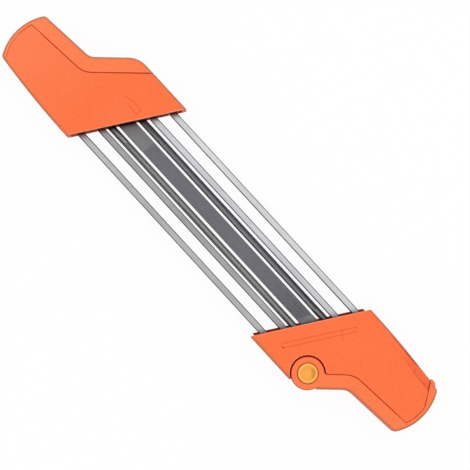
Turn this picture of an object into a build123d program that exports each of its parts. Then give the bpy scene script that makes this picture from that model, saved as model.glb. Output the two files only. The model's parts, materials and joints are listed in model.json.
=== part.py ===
from build123d import *
import math
import os

# A chainsaw file guide: two skewed plastic housings joined by four steel guide rods, which carry two round
# files and one flat file between them. The operator's face is up (+Z), the files run along X, and the tool
# lies flat on its underside at Z = 0. The origin is under the middle of the tool. The rear housing (+X) has
# a locking lever along its lower edge and end, which swings open round a pivot pin so that the files slide
# out of the hollow grip. The front housing (-X) is the same block turned half a turn, with a fixed cover in
# the lever's place. All lengths are in millimetres and all angles in degrees.

# Whole tool
half_length = 181.3
half_width = 34.5
height = 26.0
parting_share = 0.5
filing_angle = 30.0

# Housing outline in plan. Length shares are of the housing's length, measured from the tool's end, and width
# shares are of the half width, measured from the middle line.
housing_length = 93.1
long_edge_drop = 3.7
end_radius_width_share = 1.0261
end_centre_width_share = 0.313
end_low_width_share = 0.233
bend_length_share = 0.4844
bend_width_share = 0.329
low_corner_length_share = 0.7212
corner_round = 16.0
bend_round = 9.0
end_corner_round = 3.4
mouth_corner_round = 0.4

# Housing shells
wall = 2.2
edge_round = 2.4
overrun = 8.0
rib_height = 1.6
rib_thickness = 1.4
rib_length_shares = (0.218, 0.3255, 0.433)
rib_edge_distance = 7.5
rib_length = 11.5

# Seam between a housing and its lever or cover. The cover's seam line, turned to the rear, passes through the
# pivot, and the lever's lies a little outside it.
strip_width = 10.1
lever_strip_width = 9.3
end_band = 2.8
seam_gap = 0.4
seam_round = 14.0

# Locking lever
lever_wall = 2.4
lever_flange = 2.5
pivot_edge_distance = 11.15
eye_radius = 10.8
eye_thickness = 4.2
eye_gap = 0.8
eye_step = 5.8
eye_face_gap = 0.3
eye_rim_round = 0.9
eye_open_angle = -116.0
eye_web_round = 2.0
hook_nose_reach = 7.5
hook_nose_rise = 1.3
hook_nose_length = 2.8
hook_nose_thickness = 0.9
hook_seam_reach = 3.2
hook_seam_edge_distance = 8.3
hook_foot_drop = 8.8
hook_rim_inset = 1.2
thumb_relief_setback = 25.3
thumb_relief_near_depth = 0.8
thumb_relief_far_depth = 1.5

# Lever tongue that stops the file tangs, and its rubber pad
tongue_length_share = 0.5199
tongue_thickness = 3.0
tongue_low_margin = 2.1
tongue_high_margin = 3.6
tongue_depth = 9.6
tongue_drop = 3.9
tongue_foot_width = 5.0
pad_thickness = 2.0
pad_gap = 0.3
pad_inset = 0.5

# Pivot: boss in the shells, pin, washer and screw
pivot_boss_radius = 7.2
cup_wall = 2.0
cup_floor = 2.0
pin_head_radius = 6.6
pin_head_thickness = 1.8
pin_head_bevel = 0.5
pin_head_gap = 0.5
pin_dish_radius = 5.0
pin_dish_depth = 1.0
pin_radius = 3.5
pin_running_clearance = 0.06
pin_core_radius = 1.3
pin_core_depth = 12.0
pivot_washer_radius = 4.6
pivot_washer_thickness = 0.8
pivot_screw_head_radius = 2.7
pivot_screw_head_height = 1.3
pivot_screw_length = 10.0
pivot_recess_gap = 0.3

# Shell screws, which go in from the underside
boss_radius = 3.0
screw_radius = 1.4
screw_length = 18.0
screw_head_radius = 2.6
screw_head_height = 1.6
screw_head_sink = 0.4
screw_hole_clearance = 0.15
screw_thread_clearance = 0.05
screw_head_clearance = 0.15
drive_slot_width = 0.8
drive_slot_depth = 0.8
drive_slot_length = 3.4
grip_screw_setback = 17.3
grip_screw_edge_distance = 10.5
shoulder_screw_length_share = 0.5457
shoulder_screw_edge_distance = 7.3
cover_screw_setback = 4.5
cover_screw_depth = 6.0

# Cover lugs round two bosses of the front housing
lug_radius = 5.4
lug_thickness = 3.0
lug_clearance = 0.3
lug_arm_width = 5.0

# Carrier blocks that hold the rods and files just inside each mouth
carrier_recess = 1.6
carrier_room_share = 0.7552
carrier_side_gap = 0.4
carrier_top_gap = 0.2
lip_reach = 2.4
lip_drop = 0.3
pocket_clearance = 0.1
pocket_end_gap = 0.3

# Guide rods
rod_width = 4.3
rod_depth = 6.0
rod_chamfer = 0.5
rod_end_wall = 3.0
outer_rod_width_share = 0.771
inner_rod_width_share = 0.4335
working_height_share = 0.404
rod_pin_radius = 1.0
rod_pin_length = 15.0
rod_pin_clearance = 0.05

# Files
file_end_wall = 6.2
round_file_diameter = 4.8
round_file_width_share = 0.258
file_rise_share = 0.2
round_tip_chamfer = 0.6
flat_file_width_share = 0.2885
flat_file_thickness = 3.0
flat_file_chamfer = 0.3
depth_gauge_setting = 0.65
tang_root_radius = 2.0
tang_tip_radius = 1.1
flat_tang_root_width = 7.6
flat_tang_tip_width = 3.6
flat_tang_thickness = 2.4
tang_shoulder = 2.0

# Direction marks, sunk into the operator's face
mark_depth = 0.4
mark_line = 0.55
front_mark_setback = 5.3
front_mark_width_share = 0.3
front_mark_length = 14.8
front_mark_width = 4.0
front_mark_head = 6.3
rear_mark_setback = 10.4
rear_mark_low_width_share = 0.667
rear_mark_high_width_share = 0.58
rear_mark_spacing = 2.9
rear_mark_tick_width_share = 0.325
rear_mark_tick_length = 7.0

MIN_Z = (Align.CENTER, Align.CENTER, Align.MIN)


def tan_deg(angle):
    return math.tan(math.radians(angle))


def polar(origin, distance, angle):
    """The point at a distance and angle from an origin, in plan."""
    turn = math.radians(angle)
    return Vector(origin) + Vector(distance * math.cos(turn), distance * math.sin(turn))


def crossing(point_a, angle_a, point_b, angle_b):
    """Where two lines in plan meet, each given by a point and an angle."""
    along_a, along_b = polar((0, 0), 1, angle_a), polar((0, 0), 1, angle_b)
    between = Vector(point_b) - Vector(point_a)
    return Vector(point_a) + along_a * (between.cross(along_b).Z / along_a.cross(along_b).Z)


def mouth_x(y):
    """X of the rear housing's mouth, which is skewed by the filing angle."""
    return half_length - housing_length + y * tan_deg(filing_angle)


def end_x(y):
    """X of the rounded end of the rear housing."""
    return end_centre.X + math.sqrt(end_radius**2 - (y - end_centre.Y) ** 2)


parting_z = height * parting_share
working_z = height * working_height_share
end_radius = half_width * end_radius_width_share
end_centre = Vector(half_length - end_radius, half_width * end_centre_width_share)
end_low_y = -half_width * end_low_width_share
end_high_y = half_width - long_edge_drop
mouth_low = Vector(mouth_x(-half_width), -half_width)
mouth_high = Vector(mouth_x(half_width), half_width)
bend = Vector(half_length - housing_length * bend_length_share, -half_width * bend_width_share)
end_low = Vector(end_x(end_low_y), end_low_y)
end_high = Vector(end_x(end_high_y), end_high_y)
low_corner = Vector(half_length - housing_length * low_corner_length_share, -half_width)
slope_angle = math.degrees(math.atan2(bend.Y - low_corner.Y, bend.X - low_corner.X))
grip_angle = math.degrees(math.atan2(end_low.Y - bend.Y, end_low.X - bend.X))
seam_slope_point = polar(bend, strip_width, slope_angle + 90)
pivot = crossing(seam_slope_point, slope_angle, Vector(0, pivot_edge_distance - half_width), 0)
cup_radius = eye_radius + eye_gap + cup_wall
carrier_length = carrier_room_share * (pivot.X - cup_radius - mouth_x(pivot.Y))
file_seat = carrier_recess + carrier_length - file_end_wall
tongue_setback = housing_length * tongue_length_share
tang_length = housing_length - tongue_setback - pad_thickness - pad_gap - file_seat
round_file_z = working_z + (file_rise_share - 1 / 2) * round_file_diameter
flat_file_z = working_z - depth_gauge_setting
round_file_y = half_width * round_file_width_share
flat_file_width = half_width * flat_file_width_share
outer_rod_y = half_width * outer_rod_width_share
inner_rod_y = half_width * inner_rod_width_share
hook_nose = Vector(end_high.X - hook_nose_reach, end_high_y + hook_nose_rise)
hook_seam = Vector(end_high.X - hook_seam_reach, half_width - hook_seam_edge_distance)
tongue_low_y = -round_file_y - tongue_low_margin
tongue_high_y = round_file_y + tongue_high_margin
tongue_low_z = round_file_z - tongue_drop
tongue_high_z = tongue_low_z + tongue_depth
grip_screw = Vector(half_length - grip_screw_setback, half_width - grip_screw_edge_distance)
shoulder_screw = Vector(
    half_length - housing_length * shoulder_screw_length_share, half_width - shoulder_screw_edge_distance
)
cover_screw = polar(
    polar(seam_slope_point, -cover_screw_setback, slope_angle), cover_screw_depth, slope_angle + 90
)
inner_top = height - wall
eye_shelf_low = eye_thickness + eye_face_gap
eye_shelf_high = height - eye_shelf_low


def prism(face, low, high):
    """A plan face made solid between two heights."""
    return Pos(0, 0, low) * extrude(face, high - low)


def post(point, radius, low, high):
    """A round column between two heights."""
    return Pos(point.X, point.Y, low) * Cylinder(radius, high - low, align=MIN_Z)


def polygon(*points):
    return make_face(Polyline(*points, close=True))


def round_corner(face, point, radius):
    """The face with the corner nearest to a point rounded."""
    return fillet(face.vertices().sort_by_distance(Vector(point))[0], radius)


def turned(shape):
    """The shape moved from the rear housing to the front one, half a turn about Z."""
    return Rot(0, 0, 180) * shape


def housing_outline():
    """Plan of the rear housing, run on past its mouth."""
    low, high = mouth_low - Vector(overrun, 0), mouth_high - Vector(overrun, 0)
    edges = [
        Line(low, low_corner),
        Line(low_corner, bend),
        Line(bend, end_low),
        ThreePointArc(end_low, (half_length, end_centre.Y), end_high),
        TangentArc(mouth_high, end_high, tangent=(1, 0)),
        Line(mouth_high, high),
        Line(high, low),
    ]
    face = make_face(Curve() + edges)
    face = round_corner(face, low_corner, corner_round)
    face = round_corner(face, bend, bend_round)
    face = round_corner(face, end_low, end_corner_round)
    return round_corner(face, end_high, end_corner_round)


def past_mouth():
    """Plan of all that lies before the mouth, with the mouth's two corners rounded."""
    ahead, aside = Vector(2 * overrun, 0), Vector(0, overrun)
    face = polygon(
        mouth_low + ahead,
        mouth_low,
        mouth_high,
        mouth_high + ahead,
        mouth_high + ahead + aside,
        mouth_high - ahead + aside,
        mouth_low - ahead - aside,
        mouth_low + ahead - aside,
    )
    return round_corner(round_corner(face, mouth_low, mouth_corner_round), mouth_high, mouth_corner_round)


def housing_block():
    """The housing's outer form, with rounded rims and a crisp mouth."""
    block = extrude(housing_outline(), height)
    rims = block.faces().sort_by(Axis.Z)[0].edges() + block.faces().sort_by(Axis.Z)[-1].edges()
    return fillet(rims, edge_round) - prism(past_mouth(), -overrun, height + overrun)


def slab(low, high):
    """Everything between two heights."""
    return prism(Rectangle(4 * half_length, 4 * half_width), low, high)


def hollow(thickness):
    """Plan of the space inside walls of a thickness, open at the mouth."""
    return offset(housing_outline(), -thickness)


def seam_points(width, gap):
    """The seam of a strip of a width: its start beside the pivot, its bend, and its end past the housing."""
    start = polar(pivot, width + gap - strip_width, slope_angle + 90)
    on_grip = polar(bend, width + gap, grip_angle + 90)
    turn = crossing(start, slope_angle, on_grip, grip_angle)
    past = crossing(on_grip, grip_angle, Vector(half_length + overrun, 0), 90)
    return start, turn, past


def end_zone(width, gap):
    """Plan of the thin band along the rounded end, above a strip of a width."""
    _, turn, _ = seam_points(width, gap)
    box = polygon(
        (end_centre.X, turn.Y),
        (half_length + overrun, turn.Y),
        (half_length + overrun, half_width + overrun),
        (end_centre.X, half_width + overrun),
    )
    return box - Pos(end_centre) * Circle(end_radius - end_band - gap)


def strip_zone(width, gap, first, last):
    """Plan of the strip outside the seam, from a first point on the seam to the housing's end. The last
    point closes it outside the housing."""
    _, turn, past = seam_points(width, gap)
    face = polygon(
        first,
        turn,
        past,
        (half_length + overrun, -half_width - overrun),
        last,
    )
    return round_corner(face, turn, seam_round + gap)


def hook_zone(gap):
    """Plan of the lever's hook, which wraps the end of the long edge. Its seam runs down to the end band no
    flatter than the arc it swings on, so that the lever leaves the shells freely."""
    foot_y = hook_seam.Y - hook_foot_drop - gap
    return polygon(
        (hook_nose.X - gap, half_width + overrun),
        hook_nose - Vector(gap, gap),
        hook_seam - Vector(gap, gap),
        (end_x(hook_seam.Y - hook_foot_drop) - end_band - gap, foot_y),
        (half_length + overrun, foot_y),
        (half_length + overrun, half_width + overrun),
    )


def lever_zone():
    """Plan of the lever without its eyes: strip, end band and hook."""
    start = polar(seam_points(lever_strip_width, 0)[0], eye_step, slope_angle)
    outside = polar(start, strip_width + overrun, slope_angle - 90)
    return strip_zone(lever_strip_width, 0, start, outside) + end_zone(lever_strip_width, 0) + hook_zone(0)


def lever_clearance_zone():
    """Plan that the rear shells are cut by, so that the lever has its seam gap and room to turn."""
    start, _, _ = seam_points(lever_strip_width, seam_gap)
    outside = polar(pivot, half_width, eye_open_angle)
    strip = strip_zone(lever_strip_width, seam_gap, start, outside)
    return strip + end_zone(lever_strip_width, seam_gap) + hook_zone(seam_gap)


def eye_web(radius, gap, rounding):
    """Plan of the web that fills the corner between an eye and the lever's seam with a rounding."""
    start, _, _ = seam_points(lever_strip_width, gap)
    rise = lever_strip_width + gap - strip_width + rounding
    foot = polar(start, math.sqrt((radius + rounding) ** 2 - rise**2), slope_angle)
    centre = polar(foot, rounding, slope_angle + 90)
    web = polygon(start, foot, centre, pivot) - Pos(centre) * Circle(rounding)
    return web - Pos(pivot.X, pivot.Y) * Circle(radius - eye_rim_round)


def cover_zone(gap):
    """Plan of the front cover: strip, shoulder and end band."""
    start, _, _ = seam_points(strip_width, gap)
    foot = crossing(start, slope_angle, Vector(0, -half_width - overrun), 0)
    return strip_zone(strip_width, gap, foot, foot + Vector(overrun, 0)) + end_zone(strip_width, gap)


def carrier_screw_point(side):
    """Plan place of a screw that passes through the carrier, on the side +1 or -1."""
    y = side * (inner_rod_y + outer_rod_y) / 2
    return Vector(mouth_x(y) + carrier_recess + carrier_length / 2, y)


rear_screw_points = [carrier_screw_point(1), carrier_screw_point(-1), shoulder_screw, grip_screw]
front_screw_points = rear_screw_points + [cover_screw]


def stroke(a, b):
    """A straight mark line between two plan points."""
    return trace(Line(a, b), mark_line)


def outline_strokes(points):
    """Mark lines round a closed figure."""
    figure = stroke(points[-1], points[0])
    for a, b in zip(points, points[1:]):
        figure += stroke(a, b)
    return figure


def front_marks():
    """An outlined blunt arrow that points away from the files, drawn at the rear housing."""
    tail_y = -half_width * front_mark_width_share
    tail = Vector(mouth_x(tail_y) + front_mark_setback, tail_y)
    tip = tail + Vector(front_mark_length, 0)
    neck = tip - Vector(front_mark_head, 0)
    side = Vector(0, front_mark_width / 2)
    return outline_strokes([tail + side, neck + side, tip, neck - side, tail - side])


def rear_mark_place(width_share):
    """A point on the rear mark's edge nearest to the mouth, at a share of the half width."""
    y = half_width * width_share
    return Vector(mouth_x(y) + rear_mark_setback, y)


def rear_marks():
    """An outlined bar parallel to the mouth, with a short tick across it."""
    low = rear_mark_place(-rear_mark_low_width_share)
    high = rear_mark_place(rear_mark_high_width_share)
    tick = rear_mark_place(rear_mark_tick_width_share)
    across = -filing_angle
    bar = outline_strokes(
        [low, high, polar(high, rear_mark_spacing, across), polar(low, rear_mark_spacing, across)]
    )
    return bar + stroke(tick, polar(tick, rear_mark_tick_length, across))


def with_screw_bosses(shell, points, top):
    """Adds a boss for each shell screw, and its hole. The top shell's hole takes the thread, and the bottom
    shell's has clearance and a sunk seat for the head."""
    for point in points:
        if top:
            shell += post(point, boss_radius, parting_z, inner_top)
        else:
            shell += post(point, boss_radius, 0, parting_z)
    seat = screw_head_sink + screw_head_height
    for point in points:
        if top:
            shell -= post(point, screw_radius + screw_thread_clearance, parting_z, seat + screw_length)
        else:
            shell -= post(point, screw_radius + screw_hole_clearance, 0, parting_z)
            shell -= post(point, screw_head_radius + screw_head_clearance, 0, seat)
    return shell


def half_block(block, top):
    """The upper or lower half of the hollow housing block."""
    half = slab(parting_z, height + overrun) if top else slab(-overrun, parting_z)
    return (block & half) - prism(hollow(wall), wall, inner_top)


def grip_ribs(top):
    """Low stiffening ribs across the inside of the grip."""
    low = inner_top - rib_height if top else wall
    high_y = half_width - rib_edge_distance
    ribs = []
    for share in rib_length_shares:
        middle = (half_length - housing_length * share, high_y - rib_length / 2)
        ribs.append(prism(Pos(middle) * Rectangle(rib_thickness, rib_length), low, low + rib_height))
    return ribs


def rear_shell(block, top):
    """One half of the rear housing, with the cup and boss that carry the lever's pivot."""
    shell = half_block(block, top)
    for rib in grip_ribs(top):
        shell += rib
    cup = (Pos(pivot.X, pivot.Y) * Circle(cup_radius)) & housing_outline()
    pocket_radius = eye_radius + eye_gap
    web = eye_web(pocket_radius, seam_gap, eye_web_round - seam_gap)
    if top:
        shell += prism(cup, eye_shelf_high - cup_floor, height - wall)
        shell += post(pivot, pivot_boss_radius, parting_z, eye_shelf_high)
        shell -= post(pivot, pocket_radius, eye_shelf_high, height + overrun)
        shell -= prism(web, eye_shelf_high, height + overrun)
    else:
        shell += prism(cup, wall, eye_shelf_low + cup_floor)
        shell += post(pivot, pivot_boss_radius, eye_shelf_low, parting_z)
        shell -= post(pivot, pocket_radius, -overrun, eye_shelf_low)
        shell -= prism(web, -overrun, eye_shelf_low)
    keep = post(pivot, pivot_boss_radius, eye_shelf_low, eye_shelf_high)
    shell -= prism(lever_clearance_zone(), -overrun, height + overrun) - keep
    shell -= post(pivot, pin_radius + pin_running_clearance, 0, height)
    shell = with_screw_bosses(shell, rear_screw_points, top)
    if top:
        shell -= thumb_relief()
        shell -= prism(rear_marks(), height - mark_depth, height + overrun)
    return shell


def thumb_relief():
    """A ramp cut into the top of the long edge, where a thumb reaches the lever's hook."""
    start_x = half_length - thumb_relief_setback
    profile = polygon(
        (start_x, height - thumb_relief_near_depth),
        (hook_seam.X, height - thumb_relief_far_depth),
        (hook_seam.X, height + overrun),
        (start_x, height + overrun),
    )
    ramp = extrude(Plane.XZ * profile, -(half_width + overrun - hook_seam.Y))
    return Pos(0, hook_seam.Y, 0) * ramp


def mouth_band(first, last):
    """Plan of a band along the mouth, between two distances behind it."""
    return polygon(
        mouth_low + Vector(first, 0),
        mouth_low + Vector(last, 0),
        mouth_high + Vector(last, 0),
        mouth_high + Vector(first, 0),
    )


def front_shell(block, top):
    """One half of the front housing, drawn at the rear and turned into place. The bottom one stops short of
    the mouth, level with the carrier."""
    shell = half_block(block, top) - prism(cover_zone(seam_gap), -overrun, height + overrun)
    if not top:
        shell -= prism(mouth_band(-overrun, carrier_recess), -overrun, parting_z)
    for rib in grip_ribs(top):
        shell += rib
    shell = with_screw_bosses(shell, front_screw_points, top)
    if top:
        shell -= prism(front_marks(), height - mark_depth, height + overrun)
    return turned(shell)


def tongue_front_x(y):
    """X of the tongue's front face, which is parallel to the mouth."""
    return mouth_x(y) + housing_length - tongue_setback


def tongue():
    """The lever's tongue, which lies across behind the tangs, and its foot on the lever's wall."""
    low = Vector(tongue_front_x(tongue_low_y), tongue_low_y)
    high = Vector(tongue_front_x(tongue_high_y), tongue_high_y)
    foot_length = strip_width - lever_wall / 2 - distance_inside_seam(low)
    foot = polar(low, foot_length, slope_angle - 90)
    heel = polar(foot, tongue_foot_width, slope_angle)
    back_low = crossing(
        heel, slope_angle + 90, Vector(low.X + tongue_thickness, low.Y), 90 - filing_angle
    )
    back_high = high + Vector(tongue_thickness, 0)
    return prism(polygon(low, foot, heel, back_low, back_high, high), tongue_low_z, tongue_high_z)


def distance_inside_seam(point):
    """How far a plan point lies outside the seam line of the slope, towards the lever."""
    return (point.X - pivot.X) * math.sin(math.radians(slope_angle)) - (point.Y - pivot.Y) * math.cos(
        math.radians(slope_angle)
    )


def locking_lever(block):
    """The channel-shaped lever: a fork of two eyes, the strip, the end band and the hook."""
    lever = block & prism(lever_zone(), -overrun, height + overrun)
    lever -= prism(hollow(lever_wall) - hook_zone(0), lever_flange, height - lever_flange)
    eye = post(pivot, eye_radius, 0, height)
    rims = eye.edges().sort_by(Axis.Z)
    eye = fillet([rims[0], rims[-1]], eye_rim_round)
    lever += eye
    web = eye_web(eye_radius, 0, eye_web_round)
    lever += prism(web, 0, eye_thickness)
    lever += prism(web, height - eye_thickness, height)
    fork = post(pivot, eye_radius + lever_wall, eye_thickness, height - eye_thickness)
    lever -= fork & prism(fork_opening(), 0, height)
    lever += hook_nose_block()
    lever += tongue()
    lever -= post(pivot, pin_radius + pin_running_clearance, 0, height)
    head_seat = height - pin_head_thickness - eye_face_gap
    lever -= post(pivot, pin_head_radius + pin_head_gap, head_seat, height)
    lever -= post(pivot, pivot_washer_radius + pivot_recess_gap, 0, pivot_recess() + eye_face_gap)
    return lever


def pivot_recess():
    """Depth of the recess in the lower eye for the washer and the screw's head."""
    return pivot_screw_head_height + pivot_washer_thickness


def fork_opening():
    """Plan of the fork's slot: all that lies before the strip's start, and inside its wall."""
    near = polar(pivot, eye_step, slope_angle)
    reach = 2 * half_width
    behind = polygon(
        polar(near, reach, slope_angle - 90),
        polar(near, reach, slope_angle + 90),
        polar(polar(near, reach, slope_angle + 90), reach, slope_angle + 180),
        polar(polar(near, reach, slope_angle - 90), reach, slope_angle + 180),
    )
    return behind + hollow(lever_wall)


def hook_nose_block():
    """The hook's raised nose, which stands proud of the long edge."""
    rise = Vector(0, hook_nose_thickness)
    face = polygon(
        hook_nose,
        hook_nose + rise,
        hook_nose + rise + Vector(hook_nose_length, 0),
        (end_high.X, end_high_y - hook_nose_rise),
        (end_high.X - end_band, hook_seam.Y),
        hook_seam,
    )
    return prism(face, hook_rim_inset, height - hook_rim_inset)


def tang_pad():
    """The rubber pad on the tongue's front face."""
    low_y, high_y = tongue_low_y + pad_inset, tongue_high_y - pad_inset
    face = polygon(
        (tongue_front_x(low_y) - pad_thickness, low_y),
        (tongue_front_x(low_y), low_y),
        (tongue_front_x(high_y), high_y),
        (tongue_front_x(high_y) - pad_thickness, high_y),
    )
    return prism(face, tongue_low_z + pad_inset, tongue_high_z - pad_inset)


def front_cover(block):
    """The fixed cover of the front housing: a channel like the lever, with two lugs round shell bosses."""
    cover = block & prism(cover_zone(0), -overrun, height + overrun)
    cover -= prism(hollow(lever_wall), lever_flange, height - lever_flange)
    low, high = parting_z - lug_thickness / 2, parting_z + lug_thickness / 2
    band_root = Vector(end_x(grip_screw.Y) - end_band / 2, grip_screw.Y)
    strip_root = polar(cover_screw, cover_screw_depth + strip_width, slope_angle - 90)
    inside = prism(offset(housing_outline(), -lever_wall / 2), low, high)
    for boss, root in ((grip_screw, band_root), (cover_screw, strip_root)):
        arm = prism(trace(Line(boss, root), lug_arm_width), low, high) & inside
        cover += arm + post(boss, lug_radius, low, high)
        cover -= post(boss, boss_radius + lug_clearance, low, high)
    return turned(cover)


def pivot_pin():
    """The coloured pin: a broad dished head, a plain shank and a blind core for the screw."""
    bottom = pivot_recess()
    head_low = height - pin_head_thickness
    pin = post(pivot, pin_radius, bottom, height - pin_head_bevel)
    head = post(pivot, pin_head_radius, head_low, height)
    head = chamfer(head.faces().sort_by(Axis.Z)[-1].edges(), pin_head_bevel)
    pin += head
    dish = (pin_dish_radius**2 + pin_dish_depth**2) / (2 * pin_dish_depth)
    pin -= Pos(pivot.X, pivot.Y, height - pin_dish_depth + dish) * Sphere(dish)
    return pin - post(pivot, pin_core_radius + screw_thread_clearance, bottom, bottom + pin_core_depth)


def pivot_washer():
    """The flat washer under the pin, in the lower eye's recess."""
    low = pivot_screw_head_height
    washer = post(pivot, pivot_washer_radius, low, low + pivot_washer_thickness)
    return washer - post(pivot, pin_core_radius + screw_hole_clearance, low, low + pivot_washer_thickness)


def slotted(screw, point, low):
    """A screw with a cross recess in the head's lower face."""
    for turn in (0, 90):
        slot = Box(drive_slot_length, drive_slot_width, drive_slot_depth, align=MIN_Z)
        screw -= Pos(point.X, point.Y, low) * Rot(0, 0, turn) * slot
    return screw


def pivot_screw():
    """The screw that holds the pin and the washer."""
    screw = post(pivot, pivot_screw_head_radius, 0, pivot_screw_head_height)
    screw += post(pivot, pin_core_radius, 0, pivot_screw_head_height + pivot_screw_length)
    return slotted(screw, pivot, 0)


def shell_screws(points):
    """The screws of one housing, as separate solids."""
    screws = []
    for point in points:
        low, seat = screw_head_sink, screw_head_sink + screw_head_height
        screw = post(point, screw_head_radius, low, seat)
        screw += post(point, screw_radius, low, seat + screw_length)
        screws.append(slotted(screw, point, low))
    return Compound(screws)


def rod_section(y, clearance, x_low, x_high):
    """A guide rod's bar, or its pocket, between two places along X."""
    low, high = working_z - clearance, working_z + rod_depth + clearance
    half = rod_width / 2 + clearance
    face = polygon((x_low, y - half), (x_high, y - half), (x_high, y + half), (x_low, y + half))
    return prism(face, low, high)


def guide_rod(y):
    """One rod, from a pocket of the front carrier to a pocket of the rear one, with a pin hole near each end."""
    x_low, x_high = -mouth_x(-y) - rod_reach(), mouth_x(y) + rod_reach()
    rod = rod_section(y, 0, x_low, x_high)
    rod = chamfer(rod.edges().filter_by(Axis.X), rod_chamfer)
    for point in rod_pin_points(y):
        rod -= post(point, rod_pin_radius + rod_pin_clearance, 0, height)
    return rod


def rod_reach():
    """How far a rod goes past a mouth."""
    return carrier_recess + carrier_length - rod_end_wall


def rod_pin_points(y):
    """Plan places of one rod's two pins."""
    setback = carrier_recess + carrier_length / 2
    return [Vector(mouth_x(y) + setback, y), Vector(-mouth_x(-y) - setback, y)]


rod_places = (outer_rod_y, inner_rod_y, -inner_rod_y, -outer_rod_y)


def rod_pins(end):
    """The four pins of the rear carrier (end 0) or of the front one (end 1)."""
    top = inner_top - carrier_top_gap
    pins = [post(rod_pin_points(y)[end], rod_pin_radius, top - rod_pin_length, top) for y in rod_places]
    return Compound(pins)


def carrier(front):
    """A block across the housing with pockets for the rods and bores for the files. The rear one's bores go
    right through, so that the files slide out, and it has a low lip under the rods that reaches out of the
    mouth. The front one's bores are blind. Drawn at the rear."""
    half = half_width - wall - carrier_side_gap
    top = inner_top - carrier_top_gap
    across = polygon((-half_length, -half), (half_length, -half), (half_length, half), (-half_length, half))
    block = prism(mouth_band(carrier_recess, carrier_recess + carrier_length) & across, wall, top)
    if not front:
        block += prism(mouth_band(-lip_reach, carrier_recess) & across, wall, working_z - lip_drop)
    for y in rod_places:
        block -= rod_section(y, pocket_clearance, mouth_x(y), mouth_x(y) + rod_reach() + pocket_end_gap)
        block -= post(rod_pin_points(y)[0], rod_pin_radius + rod_pin_clearance, top - rod_pin_length, top)
    bore_length = file_seat + pocket_end_gap if front else carrier_length + overrun
    for y in (round_file_y, -round_file_y):
        bore = Cylinder(round_file_diameter / 2 + pocket_clearance, overrun + bore_length, align=MIN_Z)
        block -= Pos(mouth_x(y) - overrun, y, round_file_z) * Rot(0, 90, 0) * bore
    block -= flat_bar(mouth_x(0) - overrun, mouth_x(0) + bore_length, pocket_clearance)
    for side in (1, -1):
        block -= post(carrier_screw_point(side), boss_radius + lug_clearance, 0, height)
    return turned(block) if front else block


def flat_bar(x_low, x_high, clearance):
    """The flat file's bar, or its slot, between two places along X."""
    half = flat_file_width / 2 + clearance
    face = polygon((x_low, -half), (x_high, -half), (x_high, half), (x_low, half))
    return prism(face, flat_file_z - clearance, flat_file_z + flat_file_thickness + clearance)


def tang_reach(tip_half_width):
    """Length of a tang whose square tip keeps clear of the skewed pad."""
    return tang_length - tip_half_width * tan_deg(filing_angle)


def round_file(y):
    """A round file: cut body, shoulder and tapered tang."""
    x_low, x_high = -mouth_x(-y) - file_seat, mouth_x(y) + file_seat
    body = Cylinder(round_file_diameter / 2, x_high - x_low, align=MIN_Z)
    body = chamfer(body.edges().sort_by(Axis.Z)[0], round_tip_chamfer)
    shoulder = Cone(round_file_diameter / 2, tang_root_radius, tang_shoulder, align=MIN_Z)
    taper = tang_reach(tang_tip_radius) - tang_shoulder
    tang = Cone(tang_root_radius, tang_tip_radius, taper, align=MIN_Z)
    whole = body + Pos(0, 0, x_high - x_low) * shoulder + Pos(0, 0, x_high - x_low + tang_shoulder) * tang
    return Pos(x_low, y, round_file_z) * Rot(0, 90, 0) * whole


def flat_file():
    """The flat file: cut body and narrower tang."""
    x_low, x_high = -mouth_x(0) - file_seat, mouth_x(0) + file_seat
    body = chamfer(flat_bar(x_low, x_high, 0).edges().filter_by(Axis.X), flat_file_chamfer)
    tip = x_high + tang_reach(flat_tang_tip_width / 2)
    tang = polygon(
        (x_high, -flat_tang_root_width / 2),
        (tip, -flat_tang_tip_width / 2),
        (tip, flat_tang_tip_width / 2),
        (x_high, flat_tang_root_width / 2),
    )
    middle = flat_file_z + flat_file_thickness / 2
    return body + prism(tang, middle - flat_tang_thickness / 2, middle + flat_tang_thickness / 2)


def build():
    """Every sub-part by its node name."""
    block = housing_block()
    return {
        "rear_top_shell": rear_shell(block, True),
        "rear_bottom_shell": rear_shell(block, False),
        "rear_carrier": carrier(front=False),
        "rear_rod_pins": rod_pins(0),
        "rear_shell_screws": shell_screws(rear_screw_points),
        "locking_lever": locking_lever(block),
        "tang_pad": tang_pad(),
        "pivot_pin": pivot_pin(),
        "pivot_washer": pivot_washer(),
        "pivot_screw": pivot_screw(),
        "front_top_shell": front_shell(block, True),
        "front_bottom_shell": front_shell(block, False),
        "front_carrier": carrier(front=True),
        "front_rod_pins": rod_pins(1),
        "front_shell_screws": turned(shell_screws(front_screw_points)),
        "front_cover": front_cover(block),
        "guide_rod_outer_left": guide_rod(outer_rod_y),
        "guide_rod_inner_left": guide_rod(inner_rod_y),
        "guide_rod_inner_right": guide_rod(-inner_rod_y),
        "guide_rod_outer_right": guide_rod(-outer_rod_y),
        "round_file_left": round_file(round_file_y),
        "round_file_right": round_file(-round_file_y),
        "flat_file": flat_file(),
    }


os.makedirs("parts", exist_ok=True)
for node, shape in build().items():
    export_step(shape, f"parts/{node}.step")
    print(node, len(shape.solids()), "solids", round(shape.volume, 1), "mm3")
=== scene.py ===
"""Looks of a chainsaw file guide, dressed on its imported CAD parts.

Two skewed orange grips are joined by four bright guide rods, with two round files and a flat file between
them. The rear grip (+X) has a locking lever that swings open round a yellow pivot pin.
"""

import json
import logging
import math
from dataclasses import dataclass, field, replace
from enum import Enum
from typing import Any, Sequence

import bmesh
import bpy
from mathutils import Matrix, Vector
from mathutils.bvhtree import BVHTree

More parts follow.
